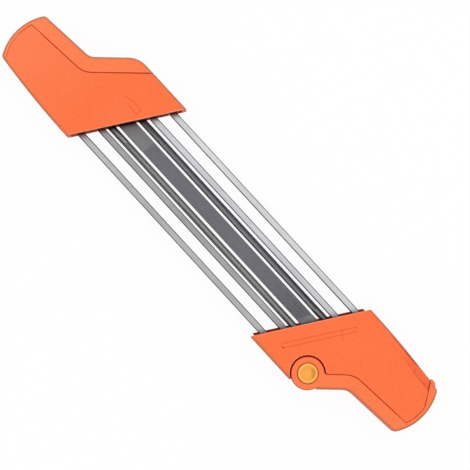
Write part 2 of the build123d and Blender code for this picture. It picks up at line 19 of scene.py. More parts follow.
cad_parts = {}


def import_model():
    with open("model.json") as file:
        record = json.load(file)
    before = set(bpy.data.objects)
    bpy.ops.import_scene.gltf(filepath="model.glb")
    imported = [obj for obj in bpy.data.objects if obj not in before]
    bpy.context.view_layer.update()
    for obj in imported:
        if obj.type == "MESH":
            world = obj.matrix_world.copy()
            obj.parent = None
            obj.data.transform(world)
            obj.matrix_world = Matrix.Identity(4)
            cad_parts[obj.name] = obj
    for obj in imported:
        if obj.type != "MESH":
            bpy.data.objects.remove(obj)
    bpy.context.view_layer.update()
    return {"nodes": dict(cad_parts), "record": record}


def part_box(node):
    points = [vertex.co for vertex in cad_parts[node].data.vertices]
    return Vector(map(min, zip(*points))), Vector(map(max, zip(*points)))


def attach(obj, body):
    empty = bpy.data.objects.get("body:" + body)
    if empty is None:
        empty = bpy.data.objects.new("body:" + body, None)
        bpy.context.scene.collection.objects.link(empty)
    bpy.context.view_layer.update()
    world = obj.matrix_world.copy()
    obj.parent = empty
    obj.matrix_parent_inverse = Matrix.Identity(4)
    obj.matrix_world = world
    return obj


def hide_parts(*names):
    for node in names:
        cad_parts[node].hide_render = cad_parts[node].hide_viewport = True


frame: dict[str, Any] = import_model()

MM = 0.001
MARK_DEPTH = 0.4  # mm, of the marks sunk into the operator's face
FILING_SLOPE = math.tan(math.radians(30.0))  # how far the skewed mouths move along X for each step in Y
WELD = 0.001  # mm, between points that a turned form joins
LINE_TONES = (0.25, 0.75)  # the range of the drawn lines' tone that the shade runs over
LINE_STRENGTH = 0.5  # of the drawn lines' relief
LOG = logging.getLogger("file_guide")

Colour = tuple[float, float, float]
Point = tuple[float, float, float]
Socket = bpy.types.NodeSocket


class Section(Enum):
    """The two cross sections of saw-chain files."""

    ROUND = "round"
    FLAT = "flat"


class Body(Enum):
    """The two CAD bodies that pieces ride on."""

    HOLDER = "holder"
    LEVER = "lever"


def rgba(colour: Sequence[float]) -> tuple[float, ...]:
    """Gives a colour its full alpha."""
    return (*colour, 1.0)


def darker(colour: Colour, share: float) -> Colour:
    """Keeps a share of a colour's light. A share over 1 makes it brighter."""
    return tuple(light * share for light in colour)


class NodeSheet:
    """Adds nodes to one tree and links them."""

    def __init__(self, tree: bpy.types.NodeTree) -> None:
        """Starts on a shader or geometry tree."""
        self.tree = tree

    def add(self, kind: str, inputs: dict[Any, Any] | None = None, **settings: Any) -> bpy.types.Node:
        """Adds one node.

        Args:
            kind: The node's type name.
            inputs: Values or output sockets, by input name or index.
            **settings: Properties of the node.

        Returns:
            The new node.
        """
        node = self.tree.nodes.new(kind)
        for name, value in settings.items():
            setattr(node, name, value)
        for key, value in (inputs or {}).items():
            if isinstance(value, Socket):
                self.tree.links.new(value, node.inputs[key])
            else:
                node.inputs[key].default_value = value
        return node

    def math(self, operation: str, *terms: Any, **settings: Any) -> Socket:
        """Adds one math node.

        Args:
            operation: The math operation.
            *terms: Numbers or output sockets.
            **settings: Properties of the node.

        Returns:
            The node's value.
        """
        return self.add("ShaderNodeMath", dict(enumerate(terms)), operation=operation, **settings).outputs[0]

    def product(self, *terms: Any) -> Socket:
        """Multiplies numbers and sockets.

        Args:
            *terms: Two or more of them.

        Returns:
            The product.
        """
        result = terms[0]
        for term in terms[1:]:
            result = self.math("MULTIPLY", result, term)
        return result

    def less(self, mask: Socket, share: float) -> Socket:
        """Gives 1 where a mask is 0, and takes a share off where it is 1."""
        return self.math("MULTIPLY_ADD", mask, -share, 1.0)

    def centred(self, value: Socket, swing: float) -> Socket:
        """Turns a value that averages 0.5 into one that swings about 0."""
        return self.math("MULTIPLY", self.math("SUBTRACT", value, 0.5), swing)

    def ramp(
        self, value: Socket, low: Any, high: Any, start: float = 0.0, end: float = 1.0, **settings: Any
    ) -> Socket:
        """Maps a range of a value onto another range, and holds it at both ends.

        Args:
            value: The value to map.
            low: Where its range starts.
            high: Where its range ends.
            start: The result at low.
            end: The result at high.
            **settings: Properties of the node.

        Returns:
            The mapped value.
        """
        inputs = {0: value, 1: low, 2: high, 3: start, 4: end}
        return self.add("ShaderNodeMapRange", inputs, **settings).outputs[0]

    def noise(
        self, where: Socket, scale: Any, detail: float, roughness: float = 0.5, distortion: float = 0.0
    ) -> Socket:
        """Adds a noise texture.

        Args:
            where: The coordinates.
            scale: Features per metre.
            detail: Octaves of finer noise.
            roughness: How much the finer octaves count.
            distortion: How far the noise is bent.

        Returns:
            The noise, near 0.5 on average.
        """
        inputs = {"Vector": where, "Scale": scale, "Detail": detail, "Roughness": roughness}
        return self.add("ShaderNodeTexNoise", {**inputs, "Distortion": distortion}).outputs["Fac"]

    def place(self) -> Socket:
        """Gives the object coordinates, in metres."""
        return self.add("ShaderNodeTexCoord").outputs["Object"]

    def split(self, kind: str) -> Any:
        """Splits the coordinates of a kind, Object or Normal, into X, Y and Z."""
        return self.add("ShaderNodeSeparateXYZ", {0: self.add("ShaderNodeTexCoord").outputs[kind]}).outputs

    def stretched(self, where: Socket, scale: Point, turn: float = 0.0) -> Socket:
        """Scales coordinates along each axis and turns them about Z by an angle in radians."""
        lie = {"Vector": where, "Rotation": (0.0, 0.0, turn), "Scale": scale}
        return self.add("ShaderNodeMapping", lie).outputs[0]

    def mix_colour(self, share: Any, first: Any, second: Any, blend: str = "MIX") -> Socket:
        """Mixes two colours.

        Args:
            share: How much of the second colour shows, as a number or socket.
            first: The first colour or socket.
            second: The second colour or socket.
            blend: The blend type.

        Returns:
            The mixed colour.
        """
        inputs = {0: share, 6: first, 7: second}
        return self.add("ShaderNodeMix", inputs, data_type="RGBA", blend_type=blend).outputs[2]


class GroupSheet(NodeSheet):
    """The sheet of one shared shader group with number sockets."""

    def __init__(self, name: str, inputs: dict[str, float]) -> None:
        """Makes the group.

        Args:
            name: The group's name.
            inputs: Default value by input name.
        """
        super().__init__(bpy.data.node_groups.new(name, "ShaderNodeTree"))
        for label, value in inputs.items():
            socket = self.tree.interface.new_socket(label, in_out="INPUT", socket_type="NodeSocketFloat")
            socket.default_value = value
        self.given = self.add("NodeGroupInput").outputs

    def finish(self, **results: Socket) -> bpy.types.NodeTree:
        """Gives the group its outputs.

        Args:
            **results: What each output puts out, by the output's name.

        Returns:
            The group's tree.
        """
        for label in results:
            self.tree.interface.new_socket(label, in_out="OUTPUT", socket_type="NodeSocketFloat")
        self.add("NodeGroupOutput", results)
        return self.tree

    def from_middle(self) -> Socket:
        """Measures along X from the line through the tool's middle with the group's Slope.

        Returns:
            The distance.
        """
        x, y, _ = self.split("Object")
        skew = self.math("MULTIPLY", y, self.given["Slope"])
        return self.math("ABSOLUTE", self.math("SUBTRACT", x, skew))


class SurfaceGroups:
    """The shader groups that several finishes share. Each is built once and then reused."""

    def __init__(self) -> None:
        """Starts with no group built."""
        self.built: dict[str, bpy.types.NodeTree] = {}

    def get(self, name: str) -> bpy.types.NodeTree:
        """Gives a group, and builds it the first time that it is asked for.

        Args:
            name: The group's name, which is the name of the method that builds it too.

        Returns:
            The group's tree.
        """
        if name not in self.built:
            self.built[name] = getattr(self, name)()
        return self.built[name]

    def mould_grain(self) -> bpy.types.NodeTree:
        """Fine spark-eroded grain of a moulded surface, with slow drifts in tone.

        Returns:
            A group with the outputs Height, Tone and Shine, all near 0.5 on average.
        """
        sheet = GroupSheet("mould_grain", {"Grain per metre": 2600.0, "Flow per metre": 38.0, "Patches": 30.0})
        where, flow = sheet.place(), sheet.given["Flow per metre"]
        patches = sheet.math("MULTIPLY", flow, sheet.given["Patches"])
        return sheet.finish(
            Height=sheet.noise(where, sheet.given["Grain per metre"], detail=3.0, roughness=0.6),
            Tone=sheet.noise(where, flow, detail=2.0, roughness=0.45, distortion=0.6),
            Shine=sheet.noise(where, patches, detail=4.0),
        )

    def hairline_scuffs(self) -> bpy.types.NodeTree:
        """Thin curved handling scratches that cross each other.

        Returns:
            A group with the output Mask, which is 1 on a scratch.
        """
        sizes = {"Lines per metre": 90.0, "Amount": 0.5, "Line width": 0.006, "Patches per metre": 55.0}
        sheet = GroupSheet("hairline_scuffs", sizes)
        where, lines = sheet.place(), []
        for turn, stretch in ((0.4, 7.0), (-0.9, 9.0), (1.5, 6.0)):
            lie = sheet.stretched(where, (1.0, stretch, 1.0), turn)
            bend = sheet.noise(lie, sheet.given["Lines per metre"], detail=1.0, distortion=0.8)
            off = sheet.math("ABSOLUTE", sheet.math("SUBTRACT", bend, 0.5))
            lines.append(sheet.ramp(off, 0.0, sheet.given["Line width"], start=1.0, end=0.0))
        crossed = sheet.math("MAXIMUM", sheet.math("MAXIMUM", lines[0], lines[1]), lines[2])
        patch = sheet.ramp(sheet.noise(where, sheet.given["Patches per metre"], detail=2.0), 0.5, 0.68)
        return sheet.finish(Mask=sheet.product(crossed, patch, sheet.given["Amount"]))

    def drawn_lines(self) -> bpy.types.NodeTree:
        """Fine lines along X that drawing and grinding leave on a bar.

        Returns:
            A group with the outputs Height and Tone, both near 0.5 on average.
        """
        sheet = GroupSheet("drawn_lines", {"Lines per metre": 2200.0, "Broad lines": 0.06, "Broad share": 0.55})
        where, lines = sheet.place(), sheet.given["Lines per metre"]
        fine = sheet.noise(sheet.stretched(where, (0.012, 1.0, 1.0)), lines, detail=4.0, roughness=0.65)
        scale = sheet.math("MULTIPLY", lines, sheet.given["Broad lines"])
        broad = sheet.noise(sheet.stretched(where, (0.22, 1.0, 1.0)), scale, detail=3.0)
        share = sheet.given["Broad share"]
        fine_share = sheet.math("SUBTRACT", 1.0, share)
        tone = sheet.math("ADD", sheet.math("MULTIPLY", fine, fine_share), sheet.math("MULTIPLY", broad, share))
        return sheet.finish(Height=fine, Tone=tone)

    def dust_film(self) -> bpy.types.NodeTree:
        """A thin broken film, such as oils, filings or dust.

        Returns:
            A group with the output Mask.
        """
        sheet = GroupSheet("dust_film", {"Spots per metre": 300.0, "Amount": 0.3})
        cloud = sheet.noise(sheet.place(), sheet.given["Spots per metre"], detail=6.0, roughness=0.7)
        return sheet.finish(Mask=sheet.product(sheet.ramp(cloud, 0.42, 0.75), sheet.given["Amount"]))

    def turned_away(self) -> bpy.types.NodeTree:
        """Finds the flanks and chamfers by how far a face turns from level, for the finishes to paint shade on.

        Returns:
            A group with the output Mask, 0 on level faces and 1 on those past the limit, above the heights
            Low and High.
        """
        sheet = GroupSheet("turned_away", {"Level": 0.97, "Turned": 0.75, "Low": -1.0, "High": -0.9})
        level = sheet.math("ABSOLUTE", sheet.split("Normal")[2])
        mask = sheet.ramp(level, sheet.given["Level"], sheet.given["Turned"])
        above = sheet.ramp(sheet.split("Object")[2], sheet.given["Low"], sheet.given["High"])
        return sheet.finish(Mask=sheet.product(mask, above))

    def mouth_grime(self) -> bpy.types.NodeTree:
        """Paints shadow on the bars where they enter the skewed mouths, tinted red as a painted reflection of
        the orange.

        Returns:
            A group with the output Mask, which rises to 1 at both mouths.
        """
        sizes = {"Mouth": 0.0882, "Slope": FILING_SLOPE, "Reach": 0.006, "Spots per metre": 900.0, "Bend": 1.4}
        sheet = GroupSheet("mouth_grime", sizes)
        start = sheet.math("SUBTRACT", sheet.given["Mouth"], sheet.given["Reach"])
        rise = sheet.ramp(sheet.from_middle(), start, sheet.given["Mouth"])
        cloud = sheet.noise(sheet.place(), sheet.given["Spots per metre"], detail=3.0)
        uneven = sheet.math("ADD", rise, sheet.centred(cloud, 0.5))
        bent = sheet.math("POWER", rise, sheet.given["Bend"])
        return sheet.finish(Mask=sheet.math("MULTIPLY", bent, uneven, use_clamp=True))

    def sun_fade(self) -> bpy.types.NodeTree:
        """A painted sheen that makes the front grip paler towards its end.

        Returns:
            A group with the output Mask.
        """
        sheet = GroupSheet("sun_fade", {"Start": -0.115, "End": -0.17})
        return sheet.finish(Mask=sheet.ramp(sheet.split("Object")[0], sheet.given["Start"], sheet.given["End"]))

    def end_wipe(self) -> bpy.types.NodeTree:
        """The two ends of the tool, where palms keep the seams clean and the seams' painted shade is lightened
        too.

        Returns:
            A group with the output Mask.
        """
        sheet = GroupSheet("end_wipe", {"Start": 0.165, "Full": 0.17})
        out = sheet.math("ABSOLUTE", sheet.split("Object")[0])
        return sheet.finish(Mask=sheet.ramp(out, sheet.given["Start"], sheet.given["Full"]))

    def mark_wipe(self) -> bpy.types.NodeTree:
        """The bands behind the mouths with the shallow marks, which gloves wipe clean and where the painted
        shade in the seams and marks is lightened too.

        Returns:
            A group with the output Mask.
        """
        sizes = {"Near": 0.09, "Far": 0.108, "Front extra": 0.0075, "Half width": 0.023}
        sheet = GroupSheet("mark_wipe", {"Slope": FILING_SLOPE, **sizes})
        x, y, _ = sheet.split("Object")
        behind = sheet.from_middle()
        front = sheet.math("LESS_THAN", x, 0.0)
        far = sheet.math("MULTIPLY_ADD", front, sheet.given["Front extra"], sheet.given["Far"])
        past_near = sheet.math("GREATER_THAN", behind, sheet.given["Near"])
        before_far = sheet.math("LESS_THAN", behind, far)
        middle = sheet.math("LESS_THAN", sheet.math("ABSOLUTE", y), sheet.given["Half width"])
        return sheet.finish(Mask=sheet.product(past_near, before_far, middle))

    def thumb_band(self) -> bpy.types.NodeTree:
        """The band beside the long edge where a thumb reaches for the lever's hook, which the plastic paints in
        shade.

        Returns:
            A group with the outputs Band and Line, the line being the band's inner edge.
        """
        across = {"Inner edge": 0.0262, "Skew": 0.09, "Line width": 0.0007}
        along = {"Start": 0.141, "Full": 0.152, "End": 0.1725}
        sheet = GroupSheet("thumb_band", {**across, **along, "Level": 0.9})
        x, y, _ = sheet.split("Object")
        level = sheet.product(
            sheet.ramp(x, sheet.given["Start"], sheet.given["Full"]),
            sheet.math("LESS_THAN", x, sheet.given["End"]),
            sheet.math("GREATER_THAN", sheet.split("Normal")[2], sheet.given["Level"]),
        )
        short = sheet.math("SUBTRACT", sheet.given["End"], x)
        inner = sheet.math("MULTIPLY_ADD", short, sheet.given["Skew"], sheet.given["Inner edge"])
        past = sheet.math("SUBTRACT", y, inner)
        off = sheet.math("DIVIDE", sheet.math("ABSOLUTE", past), sheet.given["Line width"])
        near = sheet.math("SUBTRACT", 1.0, off)
        return sheet.finish(
            Band=sheet.product(level, sheet.math("GREATER_THAN", past, 0.0)),
            Line=sheet.math("MULTIPLY", level, near, use_clamp=True),
        )

    def dish_shade(self) -> bpy.types.NodeTree:
        """The side of a small dish that leans away from the light, where the pin paints shade.

        Returns:
            A group with the output Mask.
        """
        light = {"Along X": 0.675, "Along Y": 0.737}
        sheet = GroupSheet("dish_shade", {**light, "Start": 0.12, "Full": 0.26, "Raised": 0.7})
        x, y, z = sheet.split("Normal")
        across = sheet.math("MULTIPLY", x, sheet.given["Along X"])
        leaning = sheet.math("MULTIPLY_ADD", y, sheet.given["Along Y"], across)
        away = sheet.math("MULTIPLY", leaning, -1.0)
        mask = sheet.ramp(away, sheet.given["Start"], sheet.given["Full"])
        return sheet.finish(Mask=sheet.product(mask, sheet.math("GREATER_THAN", z, sheet.given["Raised"])))


GROUPS = SurfaceGroups()


class MaterialSheet(NodeSheet):
    """The sheet of one material, with its Principled shader."""

    def __init__(self, name: str) -> None:
        """Makes the material and links its shader.

        Args:
            name: The material's name.
        """
        self.material = bpy.data.materials.new(name)
        self.material.use_nodes = True
        self.material.node_tree.nodes.clear()
        super().__init__(self.material.node_tree)
        self.shader = self.add("ShaderNodeBsdfPrincipled")
        self.output = self.add("ShaderNodeOutputMaterial", {"Surface": self.shader.outputs[0]})

    def use(self, group: str, **inputs: float) -> Any:
        """Puts one shared group into the material.

        Args:
            group: The group's name.
            **inputs: The group's inputs that aren't at their default, with an underscore for each space.

        Returns:
            The group's outputs.
        """
        values = {label.replace("_", " "): value for label, value in inputs.items()}
        return self.add("ShaderNodeGroup", values, node_tree=GROUPS.get(group)).outputs

    def attribute(self, name: str) -> Socket:
        """Reads one of the piece's own attributes."""
        return self.add("ShaderNodeAttribute", attribute_name=name).outputs["Fac"]

    def tint(self, over: Any, share: Any, colour: Colour) -> Socket:
        """Lays a plain colour over another one.

        Args:
            over: The colour underneath, as a colour or socket.
            share: How much of the plain colour shows, as a number or socket.
            colour: The plain colour.

        Returns:
            The mixed colour.
        """
        return self.mix_colour(share, over, rgba(colour))

    def plain(self, **values: Any) -> None:
        """Sets shader inputs that are the same all over, by name with an underscore for each space."""
        for label, value in values.items():
            self.shader.inputs[label.replace("_", " ")].default_value = value

    def close(self, colour: Socket, roughness: Socket, relief: Socket, strength: float, depth: float) -> None:
        """Links the finished surface to the shader.

        Args:
            colour: The base colour.
            roughness: The roughness.
            relief: The height of the fine relief.
            strength: How strongly the relief shows.
            depth: How deep the relief is, in metres.
        """
        bump = self.add("ShaderNodeBump", {"Strength": strength, "Distance": depth, "Height": relief})
        for label, socket in (("Base Color", colour), ("Roughness", roughness), ("Normal", bump.outputs[0])):
            self.tree.links.new(socket, self.shader.inputs[label])


def seen_directly(sheet: NodeSheet) -> Socket:
    """Gives 1 on camera, glossy and transmission rays, and 0 on the rays that light the tool.

    Args:
        sheet: The sheet of the material or the world.

    Returns:
        The mask.
    """
    path = sheet.add("ShaderNodeLightPath").outputs
    some = sheet.math("MAXIMUM", path["Is Camera Ray"], path["Is Glossy Ray"])
    return sheet.math("MAXIMUM", some, path["Is Transmission Ray"])


@dataclass(frozen=True)
class MouldedPlastic:
    """A satin moulded plastic: fine grain, drifts of tone, light scuffs, worn edges with a painted highlight,
    dirt with painted shade in the seams, and painted shade on its rim, dish and thumb band and a painted sheen
    at the front.

    Shares run from 0 to 1. Depths and heights are in metres.
    """

    name: str
    colour: Colour
    pale: Colour
    # grime_and_shade colours the dirt and painted shade in the seams, and the painted shade on the thumb band.
    grime_and_shade: Colour
    # rubbed_and_highlight colours the worn edges with their painted highlight, and the painted sheen at the
    # front.
    rubbed_and_highlight: Colour
    roughness: float = 0.5
    roughness_swing: float = 0.22
    specular: float = 0.2
    grain_depth: float = 0.00003
    grain_strength: float = 0.55
    tone_swing: float = 0.5
    speckle: float = 0.07
    fleck_range: tuple[float, float] = (0.3, 0.7)
    scuffs: float = 0.12
    scuff_roughness: float = 0.3
    chalk: float = 0.3
    # edge_wear_and_highlight is how pale the worn edges with their painted highlight become.
    edge_wear_and_highlight: float = 0.8
    edge_breaks: tuple[float, float] = (0.35, 0.6)
    least_edge: float = 0.55
    shelter_fall: float = 6.0
    # seam_grime_and_shade is how strongly dirt and painted shade darken the seams.
    seam_grime_and_shade: float = 0.95
    seam_shelter: tuple[float, float] = (0.08, 0.28)
    # rim is the brown of the painted shade round the rim of the operator's face, and in the pin's dish.
    rim: Colour = (0.41, 0.19, 0.105)
    rim_shade_share: float = 0.85
    rim_shade_heights: tuple[float, float] = (0.0235, 0.0252)
    end_wipe: float = 0.85
    mark_wipe: float = 0.6
    # thumb_painted_shade and thumb_line paint shade on the thumb band and along its inner edge.
    thumb_painted_shade: float = 0.0
    thumb_line: float = 0.0
    # dish_painted_shade is how strongly shade is painted in the pin's dish.
    dish_painted_shade: float = 0.0
    # fade is how strong the painted sheen towards the front end is.
    fade: float = 0.0

    def tone(self, sheet: MaterialSheet, grain: Any) -> Socket:
        """Works out the clean plastic's colour, with its drifts and flecks and the painted sheen towards the
        front end.

        Args:
            sheet: The material's node sheet.
            grain: The grain group's outputs.

        Returns:
            The colour.
        """
        drift = sheet.math("MULTIPLY", grain["Tone"], self.tone_swing)
        toned = sheet.tint(rgba(self.colour), drift, self.pale)
        # Paints a paler sheen towards the front end.
        if self.fade:
            toned = sheet.tint(toned, sheet.product(sheet.use("sun_fade")["Mask"], self.fade), self.rubbed_and_highlight)
        dark, light = 1.0 - self.speckle, 1.0 + self.speckle
        fleck = sheet.ramp(grain["Shine"], *self.fleck_range, start=dark, end=light)
        return sheet.mix_colour(1.0, toned, fleck, "MULTIPLY")

    def worn(self, sheet: MaterialSheet, clean: Socket, grain: Any, thumb: Any, shelter: Socket) -> Socket:
        """Rubs the open edges pale, as wear with a painted highlight, and paints shade in brown on the rim of
        the operator's face.

        Args:
            sheet: The material's node sheet.
            clean: The clean colour.
            grain: The grain group's outputs.
            thumb: The thumb group's outputs.
            shelter: How far the face is sheltered.

        Returns:
            The worn colour, with its painted highlight and shade.
        """
        in_open = sheet.math("MULTIPLY_ADD", shelter, -self.shelter_fall, 1.0, use_clamp=True)
        # Worn edges, made paler, with a painted highlight along them.
        edge = sheet.math("MULTIPLY", sheet.attribute("edge_share"), sheet.less(thumb["Band"], 1.0))
        broken = sheet.ramp(grain["Tone"], *self.edge_breaks, start=self.least_edge)
        rubbed_and_highlight = sheet.tint(clean, sheet.product(edge, broken, self.edge_wear_and_highlight, in_open), self.rubbed_and_highlight)
        # Painted shade in brown on the faces that turn away from level, round the rim.
        low, high = self.rim_shade_heights
        side = sheet.use("turned_away", Level=0.995, Turned=0.6, Low=low, High=high)["Mask"]
        return sheet.tint(rubbed_and_highlight, sheet.product(side, self.rim_shade_share, in_open), self.rim)

    def lay_grime_and_shade(self, sheet: MaterialSheet, worn: Socket, thumb: Any, shelter: Socket) -> Socket:
        """Lays dirt and painted shade in the seams that hands don't wipe, and painted shade in the dish and on
        the thumb band.

        Args:
            sheet: The material's node sheet.
            worn: The worn colour, with its painted highlight and shade.
            thumb: The thumb group's outputs.
            shelter: How far the face is sheltered.

        Returns:
            The used colour.
        """
        # Dirt and painted shade in the sheltered seams.
        deep = sheet.ramp(shelter, *self.seam_shelter, end=self.seam_grime_and_shade)
        ends = sheet.less(sheet.use("end_wipe")["Mask"], self.end_wipe)
        marks = sheet.less(sheet.use("mark_wipe")["Mask"], self.mark_wipe)
        used = sheet.tint(worn, sheet.product(deep, ends, marks), self.grime_and_shade)
        # Painted shade on the side of the dish that leans away from the light.
        if self.dish_painted_shade:
            used = sheet.tint(used, sheet.product(sheet.use("dish_shade")["Mask"], self.dish_painted_shade), self.rim)
        # Painted shade on the thumb band, with a darker painted line of shade along its inner edge.
        if self.thumb_painted_shade:
            used = sheet.tint(used, sheet.product(thumb["Band"], self.thumb_painted_shade), self.grime_and_shade)
            used = sheet.tint(used, sheet.product(thumb["Line"], self.thumb_line), self.grime_and_shade)
        return used

    def build(self) -> bpy.types.Material:
        """Builds the material, which reads the piece's own edge_share and sheltered attributes.

        Returns:
            The finished material.
        """
        sheet = MaterialSheet(self.name)
        grain = sheet.use("mould_grain")
        scuff = sheet.use("hairline_scuffs", Amount=self.scuffs)["Mask"]
        thumb, shelter = sheet.use("thumb_band"), sheet.attribute("sheltered")
        worn = self.worn(sheet, self.tone(sheet, grain), grain, thumb, shelter)
        used = self.lay_grime_and_shade(sheet, worn, thumb, shelter)
        chalk = tuple(min(1.0, light * (1.0 - self.chalk) + self.chalk) for light in self.pale)
        matt = sheet.math("ADD", sheet.centred(grain["Shine"], self.roughness_swing), self.roughness)
        matt = sheet.math("ADD", matt, sheet.math("MULTIPLY", scuff, self.scuff_roughness))
        sheet.plain(Specular_IOR_Level=self.specular)
        scuffed = sheet.tint(used, scuff, chalk)
        sheet.close(scuffed, matt, grain["Height"], self.grain_strength, self.grain_depth)
        return sheet.material


@dataclass(frozen=True)
class DrawnSteel:
    """Bright bar steel with drawing lines and a thin film of use. Depths and reaches are in metres."""

    name: str
    colour: Colour
    stain: Colour
    roughness: float = 0.3
    roughness_swing: float = 0.25
    lines: float = 2200.0
    line_depth: float = 0.000012
    line_shade: tuple[float, float] = (0.72, 1.12)
    film: float = 0.3
    film_spots: float = 220.0
    film_roughness: float = 0.35
    # flank and flank_light paint shade on the flanks and chamfers.
    flank: float = 0.0
    flank_light: float = 0.1
    # mouth is the colour of the painted shadow at the mouths, tinted red as a painted reflection.
    mouth: Colour = (0.12, 0.02, 0.014)
    mouth_reach: float = 0.007

    def build(self) -> bpy.types.Material:
        """Builds the material. A bar with a flank share also has painted shade on its flanks and chamfers, and
        a painted shadow at the mouths tinted red as a painted reflection.

        Returns:
            The finished material.
        """
        sheet = MaterialSheet(self.name)
        drawn = sheet.use("drawn_lines", Lines_per_metre=self.lines)
        film = sheet.use("dust_film", Spots_per_metre=self.film_spots, Amount=self.film)["Mask"]
        shade = sheet.ramp(drawn["Tone"], *LINE_TONES, *self.line_shade)
        toned = sheet.mix_colour(1.0, rgba(self.colour), shade, "MULTIPLY")
        stained_and_shaded = sheet.tint(toned, film, self.stain)
        # Painted shade on the flanks and chamfers.
        if self.flank:
            flank_shade = sheet.product(sheet.use("turned_away")["Mask"], self.flank)
            stained_and_shaded = sheet.tint(stained_and_shaded, flank_shade, darker(self.colour, self.flank_light))
            # Painted shadow at the mouths, tinted red.
            grime_and_shade = sheet.use("mouth_grime", Reach=self.mouth_reach)["Mask"]
            stained_and_shaded = sheet.tint(stained_and_shaded, grime_and_shade, self.mouth)
        matt = sheet.math("ADD", sheet.centred(drawn["Tone"], self.roughness_swing), self.roughness)
        matt = sheet.math("ADD", matt, sheet.math("MULTIPLY", film, self.film_roughness))
        sheet.plain(Metallic=1.0)
        sheet.close(stained_and_shaded, matt, drawn["Height"], LINE_STRENGTH, self.line_depth)
        return sheet.material


@dataclass(frozen=True)
class CutFileSteel:
    """Hardened file steel: dark between the cuts, and paler where the blank was left plain."""

    name: str
    cut_colour: Colour
    plain_colour: Colour
    roughness: float = 0.42
    roughness_swing: float = 0.2
    lines: float = 1500.0
    line_depth: float = 0.00001
    line_shade: tuple[float, float] = (0.82, 1.15)
    filings: float = 0.35
    filing_spots: float = 420.0
    filing_light: float = 1.5
    # flank and flank_light paint shade on the flanks.
    flank: float = 0.3
    flank_light: float = 0.12
    # mouth is the colour of the painted shadow at the mouths.
    mouth: Colour = (0.05, 0.012, 0.01)
    mouth_reach: float = 0.004
    glint: Colour = (0.35, 0.35, 0.36)

    def build(self) -> bpy.types.Material:
        """Builds the material, which reads the piece's own cut_share attribute.

        Returns:
            The finished material.
        """
        sheet = MaterialSheet(self.name)
        drawn = sheet.use("drawn_lines", Lines_per_metre=self.lines)
        film = sheet.use("dust_film", Spots_per_metre=self.filing_spots, Amount=self.filings)["Mask"]
        base = sheet.tint(rgba(self.plain_colour), sheet.attribute("cut_share"), self.cut_colour)
        shade = sheet.ramp(drawn["Tone"], *LINE_TONES, *self.line_shade)
        toned = sheet.mix_colour(1.0, base, shade, "MULTIPLY")
        dusty = sheet.tint(toned, film, darker(self.cut_colour, self.filing_light))
        # Painted shade on the flanks.
        flanks = sheet.use("turned_away", Level=0.9, Turned=0.3)["Mask"]
        flank_shaded = sheet.tint(dusty, sheet.product(flanks, self.flank), darker(self.cut_colour, self.flank_light))
        # Painted shadow at the mouths.
        used = sheet.tint(flank_shaded, sheet.use("mouth_grime", Reach=self.mouth_reach)["Mask"], self.mouth)
        matt = sheet.math("ADD", sheet.centred(drawn["Tone"], self.roughness_swing), self.roughness)
        sheet.plain(Metallic=1.0, Specular_Tint=rgba(self.glint))
        sheet.close(used, matt, drawn["Height"], LINE_STRENGTH, self.line_depth)
        return sheet.material


@dataclass(frozen=True)
class SatinPad:
    """Soft matte rubber with fine grain and a little dust."""

    name: str
    colour: Colour
    dust: Colour = (0.12, 0.11, 0.1)
    roughness: float = 0.75
    roughness_swing: float = 0.2
    grain_depth: float = 0.00004
    grain_strength: float = 0.6

    def build(self) -> bpy.types.Material:
        """Builds the material.

        Returns:
            The finished material.
        """
        sheet = MaterialSheet(self.name)
        grain = sheet.use("mould_grain", Grain_per_metre=1800.0, Flow_per_metre=120.0)
        film = sheet.use("dust_film", Spots_per_metre=500.0, Amount=0.4)["Mask"]
        matt = sheet.math("ADD", sheet.centred(grain["Shine"], self.roughness_swing), self.roughness)
        dusty = sheet.tint(rgba(self.colour), film, self.dust)
        sheet.close(dusty, matt, grain["Height"], self.grain_strength, self.grain_depth)
        return sheet.material


@dataclass(frozen=True)
class StudioFloor:
    """A pale floor that looks near white and keeps the tool's soft shadow."""

    name: str = "studio_floor"
    albedo: float = 0.6
    mottle: float = 0.01
    mottles_per_metre: float = 12.0
    shown: float = 0.95
    shadow_share: float = 0.08
    roughness: float = 0.9
    specular: float = 0.2

    def build(self) -> bpy.types.Material:
        """Builds the material. Camera, glossy and transmission rays see mostly plain white.

        Returns:
            The finished material.
        """
        sheet = MaterialSheet(self.name)
        cloud = sheet.noise(sheet.place(), self.mottles_per_metre, detail=4.0)
        tone = sheet.ramp(cloud, 0.3, 0.7, start=self.albedo - self.mottle, end=self.albedo + self.mottle)
        seen = seen_directly(sheet)
        shown = sheet.tint(tone, seen, (self.shown,) * 3)
        sheet.tree.links.new(shown, sheet.shader.inputs["Base Color"])
        sheet.plain(Roughness=self.roughness, Specular_IOR_Level=self.specular)
        glow = sheet.add("ShaderNodeEmission", {"Color": rgba((1.0, 1.0, 1.0)), "Strength": 1.0})
        share = sheet.math("MULTIPLY", seen, 1.0 - self.shadow_share)
        mixed = sheet.add("ShaderNodeMixShader", {0: share, 1: sheet.shader.outputs[0], 2: glow.outputs[0]})
        sheet.tree.links.new(mixed.outputs[0], sheet.output.inputs["Surface"])
        return sheet.material


# SEAM_RED colours the dirt and painted shade in the seams, and the painted shade on the thumb band.
SEAM_RED: Colour = (0.62, 0.004, 0.0005)
# Worn edges with their painted highlight, and the painted sheen at the front.
RUBBED_AND_HIGHLIGHT_ORANGE: Colour = (0.97, 0.42, 0.26)
